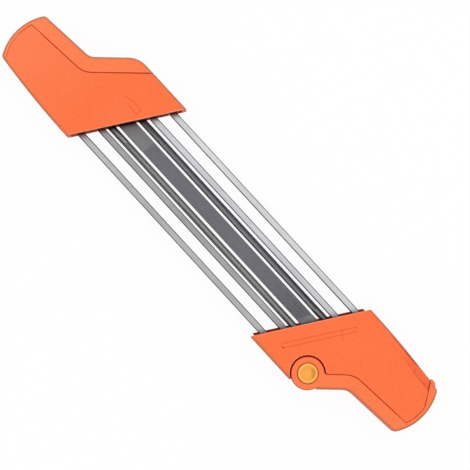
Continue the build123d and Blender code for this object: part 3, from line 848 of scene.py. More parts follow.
# The shell paints shade on its thumb band and a paler sheen towards the front end.
ORANGE_SHELL = MouldedPlastic(
    "orange_housing",
    colour=(0.92, 0.158, 0.045),
    pale=(0.95, 0.192, 0.064),
    grime_and_shade=SEAM_RED,
    rubbed_and_highlight=RUBBED_AND_HIGHLIGHT_ORANGE,
    thumb_painted_shade=0.2,
    thumb_line=0.3,
    fade=0.13,
)
ORANGE_LEVER = MouldedPlastic(
    "orange_lever",
    colour=(0.92, 0.178, 0.055),
    pale=(0.96, 0.222, 0.084),
    grime_and_shade=SEAM_RED,
    rubbed_and_highlight=RUBBED_AND_HIGHLIGHT_ORANGE,
    tone_swing=0.7,
    fade=0.1,
)
# The pin paints shade in brown on its sides and in its dish.
YELLOW_PIN = MouldedPlastic(
    "yellow_plastic",
    colour=(0.9, 0.37, 0.055),
    pale=(0.95, 0.43, 0.08),
    grime_and_shade=(0.42, 0.09, 0.01),
    rubbed_and_highlight=(0.99, 0.52, 0.14),
    roughness=0.4,
    scuffs=0.06,
    seam_grime_and_shade=0.5,
    rim=(0.5, 0.14, 0.015),
    rim_shade_share=0.8,
    dish_painted_shade=0.5,
)
CARRIER_PLASTIC = MouldedPlastic(
    "dark_carrier",
    colour=(0.4, 0.036, 0.008),
    pale=(0.46, 0.05, 0.013),
    grime_and_shade=(0.27, 0.016, 0.004),
    rubbed_and_highlight=(0.5, 0.08, 0.03),
    roughness=0.8,
    specular=0.08,
    scuffs=0.06,
    seam_grime_and_shade=0.5,
    rim_shade_share=0.0,
)
# The front carrier is the same plastic, painted lighter than the rear one as painted light against the shade
# under the front shell.
CARRIER_FRONT_PAINTED_LIGHT = replace(
    CARRIER_PLASTIC,
    name="dark_carrier_front",
    colour=(0.5, 0.06, 0.02),
    pale=(0.56, 0.08, 0.03),
    grime_and_shade=(0.4, 0.03, 0.01),
)
# The four rods are one steel: the +Y rods are painted lighter as painted light, and the -Y rods darker as
# painted shade; all carry painted shade on their flanks.
ROD_OUTER_LEFT_PAINTED_LIGHT = DrawnSteel(
    "bright_rod_outer_left", (0.71, 0.705, 0.715), stain=(0.45, 0.42, 0.4), film=0.15, flank=0.92
)
ROD_INNER_LEFT_PAINTED_LIGHT = DrawnSteel(
    "bright_rod_inner_left", (0.64, 0.65, 0.685), stain=(0.4, 0.39, 0.38), film=0.2, flank=0.92
)
ROD_INNER_RIGHT_PAINTED_SHADE = DrawnSteel(
    "bright_rod_inner_right", (0.42, 0.415, 0.425), stain=(0.27, 0.26, 0.25), film=0.35, flank=0.92
)
ROD_OUTER_RIGHT_PAINTED_SHADE = DrawnSteel(
    "bright_rod_outer_right", (0.515, 0.51, 0.515), stain=(0.32, 0.3, 0.28), film=0.35, flank=0.92
)
ZINC = DrawnSteel("zinc_steel", (0.55, 0.56, 0.57), stain=(0.3, 0.29, 0.27), roughness=0.36, lines=900.0)
# flank sets how dark the painted shade on each file's flanks is.
ROUND_LEFT = CutFileSteel("file_steel_round_left", (0.225, 0.225, 0.24), (0.235, 0.235, 0.245), flank=0.9)
ROUND_RIGHT = CutFileSteel("file_steel_round_right", (0.325, 0.325, 0.325), (0.315, 0.315, 0.315), flank=0.55)
FLAT_STEEL = CutFileSteel("file_steel_flat", (0.165, 0.163, 0.182), (0.21, 0.206, 0.213), flank=0.3)
PAD_RUBBER = SatinPad("black_rubber", (0.02, 0.02, 0.02))

NODE_FINISHES: dict[str, Any] = {
    "front_carrier": CARRIER_FRONT_PAINTED_LIGHT,
    "guide_rod_outer_left": ROD_OUTER_LEFT_PAINTED_LIGHT,
    "guide_rod_inner_left": ROD_INNER_LEFT_PAINTED_LIGHT,
    "guide_rod_inner_right": ROD_INNER_RIGHT_PAINTED_SHADE,
    "guide_rod_outer_right": ROD_OUTER_RIGHT_PAINTED_SHADE,
}
SLOT_FINISHES: dict[str, Any] = {
    "orange_housing": ORANGE_SHELL,
    "orange_lever": ORANGE_LEVER,
    "yellow_plastic": YELLOW_PIN,
    "dark_carrier": CARRIER_PLASTIC,
    "bright_rod": ROD_OUTER_LEFT_PAINTED_LIGHT,
    "file_steel": FLAT_STEEL,
    "zinc_steel": ZINC,
    "black_rubber": PAD_RUBBER,
}


class FinishShelf:
    """Keeps one material for each finish."""

    def __init__(self) -> None:
        """Starts with no material made."""
        self.made: dict[str, bpy.types.Material] = {}

    def take(self, finish: Any) -> bpy.types.Material:
        """Gives a finish's material, and builds it the first time that it is asked for.

        Args:
            finish: One of the finishes above.

        Returns:
            The material.
        """
        if finish.name not in self.made:
            self.made[finish.name] = finish.build()
        return self.made[finish.name]

    def take_for(self, node: str, slot: str) -> bpy.types.Material:
        """Gives the material of a CAD node: the node's own, or else its slot's."""
        return self.take(NODE_FINISHES.get(node, SLOT_FINISHES[slot]))


SHELF = FinishShelf()


def dress_node(name: str, slot: str) -> None:
    """Gives a CAD node a finish in its object's own material slot.

    Args:
        name: The node's name.
        slot: The record's material slot.
    """
    node = frame["nodes"][name]
    if not node.data.materials:
        node.data.materials.append(None)
    for place in node.material_slots:
        place.link = "OBJECT"
        place.material = SHELF.take_for(name, slot)
    LOG.info("%s is dressed as %s", name, slot)


def settle(piece: bpy.types.Object, body: Body, slot: str, node: str) -> bpy.types.Object:
    """Puts a finished piece on its body and hides the CAD node that it stands for.

    Args:
        piece: The piece, with its place in its mesh.
        body: The CAD body that it rides on.
        slot: The record's material slot.
        node: The CAD node that it stands for.

    Returns:
        The same piece.
    """
    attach(piece, body.value)
    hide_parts(node)
    LOG.info("%s: %d faces in %s", piece.name, len(piece.data.polygons), slot)
    return piece


def link_new(name: str, mesh: bpy.types.Mesh) -> bpy.types.Object:
    """Links a new object with a mesh into the scene.

    Args:
        name: The object's name.
        mesh: Its mesh.

    Returns:
        The object.
    """
    made = bpy.data.objects.new(name, mesh)
    bpy.context.scene.collection.objects.link(made)
    return made


def evaluated_mesh(piece: bpy.types.Object) -> bpy.types.Mesh:
    """Makes a new mesh of a piece as its live modifiers leave it."""
    bpy.context.view_layer.update()
    return bpy.data.meshes.new_from_object(piece.evaluated_get(bpy.context.evaluated_depsgraph_get()))


def bake(piece: bpy.types.Object) -> bpy.types.Object:
    """Turns a piece's modifiers into plain mesh.

    Args:
        piece: The piece with its live modifiers.

    Returns:
        The same piece.
    """
    result = evaluated_mesh(piece)
    piece.modifiers.clear()
    piece.data = result
    return piece


def store_share(mesh: bpy.types.Mesh, name: str, values: Sequence[float]) -> None:
    """Stores one value for each face, as an attribute that the materials read."""
    mesh.attributes.new(name, "FLOAT", "FACE").data.foreach_set("value", values)


def search_tree(mesh: bpy.types.Mesh) -> BVHTree:
    """Makes the search tree of a mesh's faces."""
    return BVHTree.FromPolygons([v.co for v in mesh.vertices], [tuple(f.vertices) for f in mesh.polygons])


def shade_smooth(mesh: bpy.types.Mesh, crease: float) -> None:
    """Smooths a mesh up to a crease angle in degrees."""
    mesh.shade_smooth()
    mesh.set_sharp_from_angle(angle=math.radians(crease))


def turned(name: str, profile: Sequence[tuple[float, float]], sides: int, place: Vector) -> bpy.types.Mesh:
    """Turns a half section round an upright axis into a closed mesh.

    Args:
        name: The mesh's name.
        profile: The section's points in mm, as distance from the axis and height.
        sides: How many sides the round has.
        place: Where the section's origin goes, in metres.

    Returns:
        The mesh, with its faces outwards.
    """
    mesh = bpy.data.meshes.new(name)
    work = bmesh.new()
    points = [work.verts.new((out * MM, 0.0, high * MM)) for out, high in profile]
    edges = [work.edges.new(pair) for pair in zip(points, points[1:])]
    axis = {"cent": (0.0, 0.0, 0.0), "axis": (0.0, 0.0, 1.0), "angle": 2 * math.pi}
    bmesh.ops.spin(work, geom=points + edges, steps=sides, use_merge=True, **axis)
    bmesh.ops.remove_doubles(work, verts=work.verts[:], dist=WELD * MM)
    bmesh.ops.recalc_face_normals(work, faces=work.faces[:])
    bmesh.ops.translate(work, verts=work.verts[:], vec=place)
    work.to_mesh(mesh)
    work.free()
    return mesh


class Surroundings:
    """Tells how far each face of a piece is sheltered by itself and by the CAD parts round it."""

    REACH = 2.6 * MM
    LIFT = 0.02 * MM
    RAYS = 20
    SEAM_REACH = 1.15 * MM
    SEAM_SHARE = 0.17
    LEAST_TILT = 0.2

    def __init__(self) -> None:
        """Makes the fixed fan of directions, about +Z, that each face looks along."""
        golden = math.pi * (3.0 - math.sqrt(5.0))
        self.fan: list[Vector] = []
        for i in range(self.RAYS):
            rise = math.sqrt(1.0 - (i + 0.5) / self.RAYS)
            out = math.sqrt(1.0 - rise * rise)
            self.fan.append(Vector((out * math.cos(golden * i), out * math.sin(golden * i), rise)))

    def neighbours(self, node: str) -> BVHTree:
        """Joins every CAD part but one into a single search tree.

        Args:
            node: The part that is left out.

        Returns:
            The tree.
        """
        points: list[Vector] = []
        faces: list[tuple[int, ...]] = []
        for name, part in frame["nodes"].items():
            if name != node:
                start = len(points)
                points.extend(v.co.copy() for v in part.data.vertices)
                faces.extend(tuple(start + i for i in face.vertices) for face in part.data.polygons)
        return BVHTree.FromPolygons(points, faces)

    def measure(self, mesh: bpy.types.Mesh, node: str) -> None:
        """Stores the share of sheltered directions on each face, as the attribute sheltered.

        A face beside a seam counts as sheltered by at least SEAM_SHARE, so that dirt and painted shade collect
        there.

        Args:
            mesh: The finished mesh.
            node: The CAD node that it stands for.
        """
        own, others = search_tree(mesh), self.neighbours(node)
        shares = []
        for face in mesh.polygons:
            turn = Vector((0.0, 0.0, 1.0)).rotation_difference(face.normal)
            start = face.center + face.normal * self.LIFT
            blocked = 0
            for ray in self.fan:
                aim = turn @ ray
                if others.ray_cast(start, aim, self.REACH)[0] or own.ray_cast(start, aim, self.REACH)[0]:
                    blocked += 1
            share = blocked / self.RAYS
            across = Vector((face.normal.x, face.normal.y, 0.0))
            if across.length > self.LEAST_TILT:
                if others.ray_cast(start, across.normalized(), self.SEAM_REACH)[0]:
                    share = max(share, self.SEAM_SHARE)
            shares.append(share)
        store_share(mesh, "sheltered", shares)


SURROUNDINGS = Surroundings()


@dataclass
class MouldedSkin:
    """A CAD part's own form with its triangles joined and its sharp edges softened.

    Sizes are in mm and angles in degrees. most_fill is how far a wall may move to narrow a seam wider than
    seam_left, and mark_fill is how far the marks' floors rise. A broad face keeps its corners level. A wall
    counts as upright up to a small Z of its normal, and a corner moves where its walls' normals agree.
    """

    node: str
    slot: str
    body: Body = Body.HOLDER
    edge: float = 0.22
    crease: float = 32.0
    flat: float = 0.6
    weld: float = 0.003
    least_room: float = 1.7
    room_share: float = 0.33
    seam_gap: float = 0.62
    seam_left: float = 0.0
    overlap: float = 0.02
    most_fill: float = 0.17
    mark_fill: float = 0.0
    stray_share: float = 0.35
    broad_area: float = 12.0
    most_tilt: float = 1.0
    upright: float = 0.1
    same_wall: float = 0.99
    least_step: float = 0.001
    least_agreement: float = 0.8
    floor_fit: float = 0.01

    def close_seams(self, work: bmesh.types.BMesh) -> None:
        """Brings the upright walls that face another part across a seam nearer, to leave an even gap.

        Args:
            work: The joined mesh, still with its sharp edges.
        """
        others = SURROUNDINGS.neighbours(self.node)
        shifts: dict[bmesh.types.BMVert, list[Vector]] = {}
        for face in work.faces:
            if abs(face.normal.z) > self.upright:
                continue
            start = face.calc_center_median() + face.normal * SURROUNDINGS.LIFT
            gap = others.ray_cast(start, face.normal, self.seam_gap * MM)[3]
            if gap is None:
                continue
            step = min(max(gap / MM + self.overlap - self.seam_left, 0.0) / 2, self.most_fill)
            for vert in face.verts:
                kept = shifts.setdefault(vert, [])
                if all(face.normal.dot(known.normalized()) < self.same_wall for known in kept):
                    kept.append(face.normal * max(step, self.least_step))
        for vert, steps in shifts.items():
            mean = sum((step.normalized() for step in steps), Vector()) / len(steps)
            if mean.length > self.least_agreement:
                size = sum(step.length for step in steps) / len(steps)
                vert.co += mean.normalized() * size * MM

    def raise_marks(self, work: bmesh.types.BMesh) -> None:
        """Makes the marks sunk into the operator's face shallower, as worn ones are.

        Args:
            work: The joined mesh, still with its sharp edges.
        """
        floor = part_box(self.node)[1].z - MARK_DEPTH * MM
        for vert in work.verts:
            if abs(vert.co.z - floor) < self.floor_fit * MM:
                vert.co.z += self.mark_fill * MM

    def weigh_edges(self, work: bmesh.types.BMesh) -> None:
        """Says how far each edge is bevelled: outward edges with room beside them, and no others.

        Args:
            work: The joined mesh, still with its sharp edges.
        """
        weights = work.edges.layers.float.new("bevel_weight_edge")
        for line in work.edges:
            if len(line.link_faces) != 2 or not line.is_convex:
                continue
            if line.calc_face_angle() > math.radians(self.crease):
                room = min(face.calc_area() for face in line.link_faces) / (line.calc_length() * MM)
                if room > self.least_room:
                    line[weights] = min(1.0, self.room_share * room / self.edge)

    def build(self) -> bpy.types.Object:
        """Copies the CAD mesh and joins its triangles into plain faces.

        Returns:
            The skin, not yet softened.
        """
        mesh = bpy.data.meshes.new(self.node + "_skin")
        work = bmesh.new()
        work.from_mesh(frame["nodes"][self.node].data)
        bmesh.ops.remove_doubles(work, verts=work.verts[:], dist=self.weld * MM)
        bmesh.ops.dissolve_degenerate(work, dist=self.weld * MM, edges=work.edges[:])
        level = math.radians(self.flat)
        bmesh.ops.dissolve_limit(
            work, angle_limit=level, verts=work.verts[:], edges=work.edges[:], delimit={"NORMAL"}
        )
        if self.seam_left:
            self.close_seams(work)
        if self.mark_fill:
            self.raise_marks(work)
        self.weigh_edges(work)
        work.to_mesh(mesh)
        work.free()
        return link_new(self.node + "_skin", mesh)

    def soften(self, skin: bpy.types.Object) -> None:
        """Bevels the sharp edges and stores which faces the bevel made, as the attribute edge_share.

        Args:
            skin: The skin that build made.
        """
        for _ in range(2):
            skin.data.materials.append(SHELF.take_for(self.node, self.slot))
        bevel = skin.modifiers.new("edge", "BEVEL")
        bevel.width = self.edge * MM
        bevel.segments = 2
        bevel.limit_method = "WEIGHT"
        bevel.use_clamp_overlap = False
        bevel.material = 1
        mesh = bake(skin).data
        store_share(mesh, "edge_share", [float(face.material_index) for face in mesh.polygons])
        for face in mesh.polygons:
            face.material_index = 0
            face.use_smooth = True
        mesh.materials.pop()

    def pull_in(self, skin: bpy.types.Object) -> None:
        """Moves any point that the bevel threw out back onto the CAD part, and keeps all inside its box.

        Args:
            skin: The softened skin.
        """
        tree = search_tree(frame["nodes"][self.node].data)
        low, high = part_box(self.node)
        limit = max(self.stray_share * self.edge, self.most_fill, self.mark_fill + self.overlap) * MM
        moved = 0
        for point in skin.data.vertices:
            nearest, _, _, gap = tree.find_nearest(point.co)
            if gap > limit:
                point.co = nearest
                moved += 1
            point.co = [min(max(at, least), most) for at, least, most in zip(point.co, low, high)]
        if moved:
            LOG.info("%s: %d stray bevel points put back", skin.name, moved)

    def keep_flat(self, skin: bpy.types.Object) -> None:
        """Marks sharp the edges where a broad flat face would take on a neighbour's tilt.

        Args:
            skin: The skin with its normals still in a live modifier.
        """
        trial = evaluated_mesh(skin)
        for face in trial.polygons:
            if face.area < self.broad_area * MM * MM:
                continue
            loops = list(face.loop_indices)
            for before, loop in zip([loops[-1]] + loops, loops):
                if trial.corner_normals[loop].vector.angle(face.normal) > math.radians(self.most_tilt):
                    for held in (before, loop):
                        skin.data.edges[trial.loops[held].edge_index].use_edge_sharp = True
        bpy.data.meshes.remove(trial)

    def dress(self) -> bpy.types.Object:
        """Returns:
            The finished piece.
        """
        skin = self.build()
        self.soften(skin)
        self.pull_in(skin)
        skin.data.set_sharp_from_angle(angle=math.radians(self.crease))
        level = skin.modifiers.new("level", "WEIGHTED_NORMAL")
        level.weight, level.keep_sharp = 100, True
        self.keep_flat(skin)
        SURROUNDINGS.measure(bake(skin).data, self.node)
        return settle(skin, self.body, self.slot, self.node)


@dataclass
class RearGrip:
    """The rear housing: two shells that close round the carrier. Sizes are in mm."""

    shells: tuple[str, ...] = ("rear_top_shell", "rear_bottom_shell")
    edge: float = 0.5
    seam_left: float = 0.15
    mark_fill: float = 0.31

    def dress(self) -> None:
        sizes = {"edge": self.edge, "seam_left": self.seam_left, "mark_fill": self.mark_fill}
        for node in self.shells:
            MouldedSkin(node, "orange_housing", **sizes).dress()


@dataclass
class FrontGrip(RearGrip):
    """The front housing: two like shells, and the cover that matches the lever. Sizes are in mm."""

    shells: tuple[str, ...] = ("front_top_shell", "front_bottom_shell")
    cover: str = "front_cover"
    cover_edge: float = 0.2

    def dress(self) -> None:
        super().dress()
        MouldedSkin(self.cover, "orange_lever", edge=self.cover_edge, seam_left=self.seam_left).dress()


@dataclass
class LockingLever:
    """The swinging lever and the pad that presses on the file tangs. Sizes are in mm."""

    edge: float = 0.22
    seam_left: float = 0.15
    pad_edge: float = 0.6
    pad_room: float = 1.0

    def dress(self) -> None:
        MouldedSkin("locking_lever", "orange_lever", Body.LEVER, self.edge, seam_left=self.seam_left).dress()
        MouldedSkin("tang_pad", "black_rubber", Body.LEVER, self.pad_edge, least_room=self.pad_room).dress()


@dataclass
class PivotPin:
    """The yellow pin: a broad dished head with a rounded rim on a hollow shank. Sizes are in mm."""

    node: str = "pivot_pin"
    head_radius: float = 6.75
    head_height: float = 1.8
    rim_start: float = 5.0
    rim_end: float = 5.85
    rim_height: float = 0.7
    chamfer: float = 0.1
    dish_depth: float = 1.0
    dish_steps: int = 12
    rim_steps: int = 6
    rim_fall: float = 0.01
    shank_radius: float = 3.5
    foot_chamfer: float = 0.2
    core_radius: float = 1.3
    core_depth: float = 12.0
    core_tip: float = 0.3
    sides: int = 96
    crease: float = 30.0

    def dish(self) -> list[tuple[float, float]]:
        """Draws the dish's arc from the axis to the rim.

        Returns:
            The points, as radius and height under the head's face.
        """
        ball = (self.rim_start**2 + self.dish_depth**2) / (2 * self.dish_depth)
        steps = [self.rim_start * i / self.dish_steps for i in range(self.dish_steps)]
        return [(out, ball - self.dish_depth - math.sqrt(ball * ball - out * out)) for out in steps]

    def profile(self, height: float) -> list[tuple[float, float]]:
        """Draws the half section, from the middle of the dish to the top of the core.

        Args:
            height: The pin's whole height.

        Returns:
            The points, as radius and height under the head's face.
        """
        head, shank, core = self.head_radius, self.shank_radius, self.core_radius
        fall = head - self.rim_end
        rim = [(self.rim_start + self.chamfer, -self.rim_fall), (self.rim_end, 0.0)]
        rounded = [
            (self.rim_end + fall * math.sin(turn), self.rim_height * fall * (math.cos(turn) - 1.0))
            for turn in (math.pi / 2 * i / self.rim_steps for i in range(1, self.rim_steps + 1))
        ]
        low = -self.head_height
        under = [(head, self.chamfer + low), (head - self.chamfer, low), (shank, low)]
        foot = [(shank, self.foot_chamfer - height), (shank - self.foot_chamfer, -height), (core, -height)]
        top = self.core_depth - height
        return self.dish() + rim + rounded + under + foot + [(core, top), (0.0, top + self.core_tip)]

    def build(self) -> bpy.types.Object:
        """Turns the half section round the pin's axis.

        Returns:
            The pin in place, with its rim marked in the attribute edge_share.
        """
        low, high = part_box(self.node)
        middle = (low + high) / 2
        axis = Vector((middle.x, middle.y, high.z))
        mesh = turned(self.node + "_turned", self.profile((high.z - low.z) / MM), self.sides, axis)
        mesh.materials.append(SHELF.take(YELLOW_PIN))
        shade_smooth(mesh, self.crease)
        away = [(face.center - axis).to_2d().length / MM for face in mesh.polygons]
        # The rim's faces take the colour of worn edges, with a painted highlight.
        rim_limit = self.rim_end + self.chamfer
        store_share(mesh, "edge_share", [float(self.rim_start < out < rim_limit) for out in away])
        return link_new(mesh.name, mesh)

    def dress(self) -> None:
        pin = self.build()
        SURROUNDINGS.measure(pin.data, self.node)
        settle(pin, Body.HOLDER, "yellow_plastic", self.node)


@dataclass
class PivotStack:
    """The yellow pin that the lever turns on, with the washer under it."""

    pin: PivotPin = field(default_factory=PivotPin)

    def dress(self) -> None:
        self.pin.dress()
        dress_node("pivot_washer", "zinc_steel")


@dataclass
class GuideRods:
    """The four drawn rods that join the grips, and the pins across their ends."""

    sides: tuple[str, ...] = ("outer_left", "inner_left", "inner_right", "outer_right")
    pins: tuple[str, ...] = ("rear_rod_pins", "front_rod_pins")

    def dress(self) -> None:
        """Dresses the rods and pins, which keep their CAD forms."""
        for side in self.sides:
            dress_node("guide_rod_" + side, "bright_rod")
        for node in self.pins:
            dress_node(node, "zinc_steel")


@dataclass
class Carriers:
    """The two dark blocks in the mouths that hold the rods and files. Sizes are in mm."""

    nodes: tuple[str, ...] = ("rear_carrier", "front_carrier")
    edge: float = 0.2

    def dress(self) -> None:
        for node in self.nodes:
            MouldedSkin(node, "dark_carrier", edge=self.edge).dress()


class SharedTree:
    """A geometry tree with named inputs, which is built once and then given each time."""

    NAME = ""
    SOCKETS: dict[str, tuple[str, Any]] = {}
    tree: bpy.types.NodeTree | None = None

    @classmethod
    def get(cls) -> bpy.types.NodeTree:
        """Builds the tree the first time that it is asked for, and gives it.

        Returns:
            The tree, whose inputs are the class's sockets and the finish.
        """
        if cls.tree is None:
            tree = bpy.data.node_groups.new(cls.NAME, "GeometryNodeTree")
            tree.is_modifier = True
            for label, (kind, value) in {**cls.SOCKETS, "Finish": ("Material", None)}.items():
                socket = tree.interface.new_socket(label, in_out="INPUT", socket_type="NodeSocket" + kind)
                if value is not None:
                    socket.default_value = value
            tree.interface.new_socket("Geometry", in_out="OUTPUT", socket_type="NodeSocketGeometry")
            sheet = NodeSheet(tree)
            given = sheet.add("NodeGroupInput").outputs
            real = sheet.add("GeometryNodeRealizeInstances", {0: cls.form(sheet, given)})
            dressed = {"Geometry": real.outputs[0], "Material": given["Finish"]}
            finished = sheet.add("GeometryNodeSetMaterial", dressed)
            sheet.add("NodeGroupOutput", {"Geometry": finished.outputs[0]})
            cls.tree = tree
        return cls.tree

    @classmethod
    def form(cls, sheet: NodeSheet, given: Any) -> Socket:
        """Makes the tree's form. Each kind of tree has its own.

        Args:
            sheet: The tree's node sheet.
            given: The tree's inputs.

        Returns:
            The form's geometry.
        """
        raise NotImplementedError

    @classmethod
    def apply(cls, piece: bpy.types.Object, **values: Any) -> bpy.types.Object:
        """Runs the tree on a piece and makes the result its plain mesh.

        Args:
            piece: The piece that holds the tree's first input as its mesh.
            **values: The other inputs, by name with an underscore for each space.

        Returns:
            The same piece.
        """
        modifier = piece.modifiers.new(cls.NAME, "NODES")
        modifier.node_group = cls.get()
        for item in modifier.node_group.interface.items_tree:
            label = item.name.replace(" ", "_")
            if item.item_type == "SOCKET" and item.in_out == "INPUT" and label in values:
                modifier[item.identifier] = values[label]
        return bake(piece)


class SweepTree(SharedTree):
    """Sweeps a closed section along X and cuts teeth into it."""

    NAME = "cut_file_sweep"
    SOCKETS = {
        "Section": ("Geometry", None),
        "Length": ("Float", 0.2),
        "Pitch": ("Float", 0.0008),
        "Tooth Depth": ("Float", 0.0001),
        "Slant": ("Float", 0.4),
        "Cut Start": ("Float", -0.08),
        "Cut End": ("Float", 0.08),
        "Fade": ("Float", 0.002),
        "Rise Share": ("Float", 0.75),
        "Straight End": ("Float", 0.008),
        "Rows": ("Int", 400),
    }

    @classmethod
    def form(cls, sheet: NodeSheet, given: Any) -> Socket:
        """Sweeps the section from end to end and cuts it.

        Args:
            sheet: The tree's node sheet.
            given: The tree's inputs.

        Returns:
            The cut body, with the attribute cut_share.
        """
        half = sheet.math("MULTIPLY", given["Length"], 0.5)
        start = sheet.add("ShaderNodeCombineXYZ", {0: sheet.math("MULTIPLY", half, -1.0)}).outputs[0]
        end = sheet.add("ShaderNodeCombineXYZ", {0: half}).outputs[0]
        line = sheet.add("GeometryNodeCurvePrimitiveLine", {"Start": start, "End": end})
        path = sheet.add("GeometryNodeResampleCurve", {"Curve": line.outputs[0], "Count": given["Rows"]})
        upright = sheet.add("GeometryNodeSetCurveNormal", {"Curve": path.outputs[0]}, mode="Z_UP")
        outline = sheet.add("GeometryNodeMeshToCurve", {"Mesh": given["Section"]})
        swept = sheet.add(
            "GeometryNodeCurveToMesh",
            {"Curve": upright.outputs[0], "Profile Curve": outline.outputs[0], "Fill Caps": True},
        )
        cut, share = cls.teeth(sheet, given, half)
        placed = sheet.add("GeometryNodeSetPosition", {"Geometry": swept.outputs[0], "Offset": cut})
        kept = sheet.add(
            "GeometryNodeStoreNamedAttribute",
            {"Geometry": placed.outputs[0], "Name": "cut_share", "Value": share},
            data_type="FLOAT",
            domain="POINT",
        )
        return kept.outputs[0]

    @staticmethod
    def teeth(sheet: NodeSheet, given: Any, half: Socket) -> tuple[Socket, Socket]:
        """Works out how far each point moves: in at a tooth's root, and along X with the slant.

        Args:
            sheet: The tree's node sheet.
            given: The tree's inputs.
            half: Half the body's length.

        Returns:
            The offset, and the share of the full cut at each point.
        """
        where = sheet.add("GeometryNodeInputPosition").outputs[0]
        along, across, _ = sheet.add("ShaderNodeSeparateXYZ", {0: where}).outputs
        full, fade = sheet.math("ADD", given["Cut Start"], given["Fade"]), given["Fade"]
        rise = sheet.ramp(along, given["Cut Start"], full, interpolation_type="SMOOTHSTEP")
        last = sheet.math("SUBTRACT", given["Cut End"], fade)
        fall = sheet.ramp(along, last, given["Cut End"], 1.0, 0.0, interpolation_type="SMOOTHSTEP")
        share = sheet.math("MULTIPLY", rise, fall)
        phase = sheet.math("FRACT", sheet.math("DIVIDE", along, given["Pitch"]))
        left = sheet.math("SUBTRACT", 1.0, phase)
        rest = sheet.math("SUBTRACT", 1.0, given["Rise Share"])
        face, back = sheet.math("DIVIDE", phase, given["Rise Share"]), sheet.math("DIVIDE", left, rest)
        tooth = sheet.math("MINIMUM", face, back)
        depth = sheet.product(sheet.math("SUBTRACT", 1.0, tooth), given["Tooth Depth"], share, -1.0)
        normal = sheet.add("GeometryNodeInputNormal").outputs[0]
        moved = sheet.add("ShaderNodeVectorMath", {0: normal, "Scale": depth}, operation="SCALE")
        ends = sheet.math("SUBTRACT", half, sheet.math("ABSOLUTE", along))
        slide = sheet.product(across, given["Slant"], sheet.ramp(ends, 0.0, given["Straight End"]))
        shear = sheet.add("ShaderNodeCombineXYZ", {0: slide}).outputs[0]
        total = sheet.add("ShaderNodeVectorMath", {0: moved.outputs[0], 1: shear}, operation="ADD")
        return total.outputs[0], share


class ScrewTree(SharedTree):
    """Puts one screw at each point, turned at random."""

    NAME = "screw_places"
    SOCKETS = {
        "Places": ("Geometry", None),
        "Screw": ("Object", None),
        "Size": ("Float", 1.0),
        "Seed": ("Int", 3),
    }

    @classmethod
    def form(cls, sheet: NodeSheet, given: Any) -> Socket:
        """Places the screws.

        Args:
            sheet: The tree's node sheet.
            given: The tree's inputs.

        Returns:
            The screws as instances.
        """
        screw = sheet.add("GeometryNodeObjectInfo", {"Object": given["Screw"]}).outputs["Geometry"]
        turn = sheet.add("FunctionNodeRandomValue", {3: math.pi, "Seed": given["Seed"]}, data_type="FLOAT")
        euler = sheet.add("ShaderNodeCombineXYZ", {2: turn.outputs[1]}).outputs[0]
        put = {"Points": given["Places"], "Instance": screw, "Rotation": euler, "Scale": given["Size"]}
        return sheet.add("GeometryNodeInstanceOnPoints", put).outputs[0]


@dataclass
class PanScrew:
    """One cross-recess screw that points up, with its head's face at the origin.

    Sizes are in mm. The forms' pairs are shares: of the head's radius and dome, and of the shank's radius
    and the thread's pitch.
    """

    head_radius: float = 2.6
    head_height: float = 1.6
    shank_radius: float = 1.4
    length: float = 19.6
    dome: float = 0.45
    recess_width: float = 0.75
    recess_reach: float = 1.55
    recess_depth: float = 0.95
    recess_taper: float = 0.6
    recess_lead: float = 0.3
    thread_pitch: float = 1.2
    thread_depth: float = 0.18
    sides: int = 32
    head_form: tuple[tuple[float, float], ...] = ((0.55, 0.25), (0.85, 1.0), (1.0, 2.2))
    tip_form: tuple[float, float] = (0.85, 0.8)

    def profile(self) -> list[tuple[float, float]]:
        """Draws the screw's half section, from the middle of the head's face to the tip.

        Returns:
            The points, as distance from the axis and height above the head's face.
        """
        head, shank = self.head_radius, self.shank_radius
        crown = [(head * out, self.dome * fall) for out, fall in self.head_form]
        points = [(0.0, 0.0), *crown, (head, self.head_height), (shank, self.head_height)]
        high = self.head_height + self.thread_pitch
        while high < self.length - self.thread_pitch * 2:
            points += [(shank - self.thread_depth, high), (shank, high + self.thread_pitch * 0.5)]
            high += self.thread_pitch
        out, back = self.tip_form
        return points + [(shank * out, self.length - self.thread_pitch * back), (0.0, self.length)]

    def recess(self) -> bpy.types.Object:
        """Makes the tapered cross that the recess is cut with.

        Returns:
            The cutting form.
        """
        mesh = bpy.data.meshes.new("screw_cross")
        work = bmesh.new()
        wide, reach = self.recess_width / 2, self.recess_reach
        outline: list[Vector] = []
        for quarter in range(4):
            turn = Matrix.Rotation(quarter * math.pi / 2, 2)
            outline += [turn @ Vector(corner) for corner in ((reach, -wide), (reach, wide), (wide, wide))]
        rings = []
        for share, height in ((1.0, -self.recess_lead), (self.recess_taper, self.recess_depth)):
            rings.append([work.verts.new((p.x * share * MM, p.y * share * MM, height * MM)) for p in outline])
        join_rings(work, rings)
        bmesh.ops.recalc_face_normals(work, faces=work.faces[:])
        work.to_mesh(mesh)
        work.free()
        return link_new("screw_cross", mesh)

    def build(self) -> bpy.types.Object:
        """Turns the screw and cuts its recess.

        Returns:
            One screw about the origin.
        """
        screw = link_new("screw_form", turned("screw_form", self.profile(), self.sides, Vector()))
        cross = self.recess()
        cut = screw.modifiers.new("recess", "BOOLEAN")
        cut.operation, cut.solver, cut.object = "DIFFERENCE", "EXACT", cross
        bake(screw)
        bpy.data.objects.remove(cross)
        return screw


def join_rings(work: bmesh.types.BMesh, rings: Sequence[Sequence[bmesh.types.BMVert]]) -> None:
    """Closes a row of rings of points into one form, with a face at each end.

    Args:
        work: The mesh that holds the points.
        rings: The rings in order, each with as many points.
    """
    for near, far in zip(rings, rings[1:]):
        for i in range(len(near)):
            j = (i + 1) % len(near)
            work.faces.new((near[i], near[j], far[j], far[i]))
    for ring in (rings[0], rings[-1]):
        work.faces.new(ring)


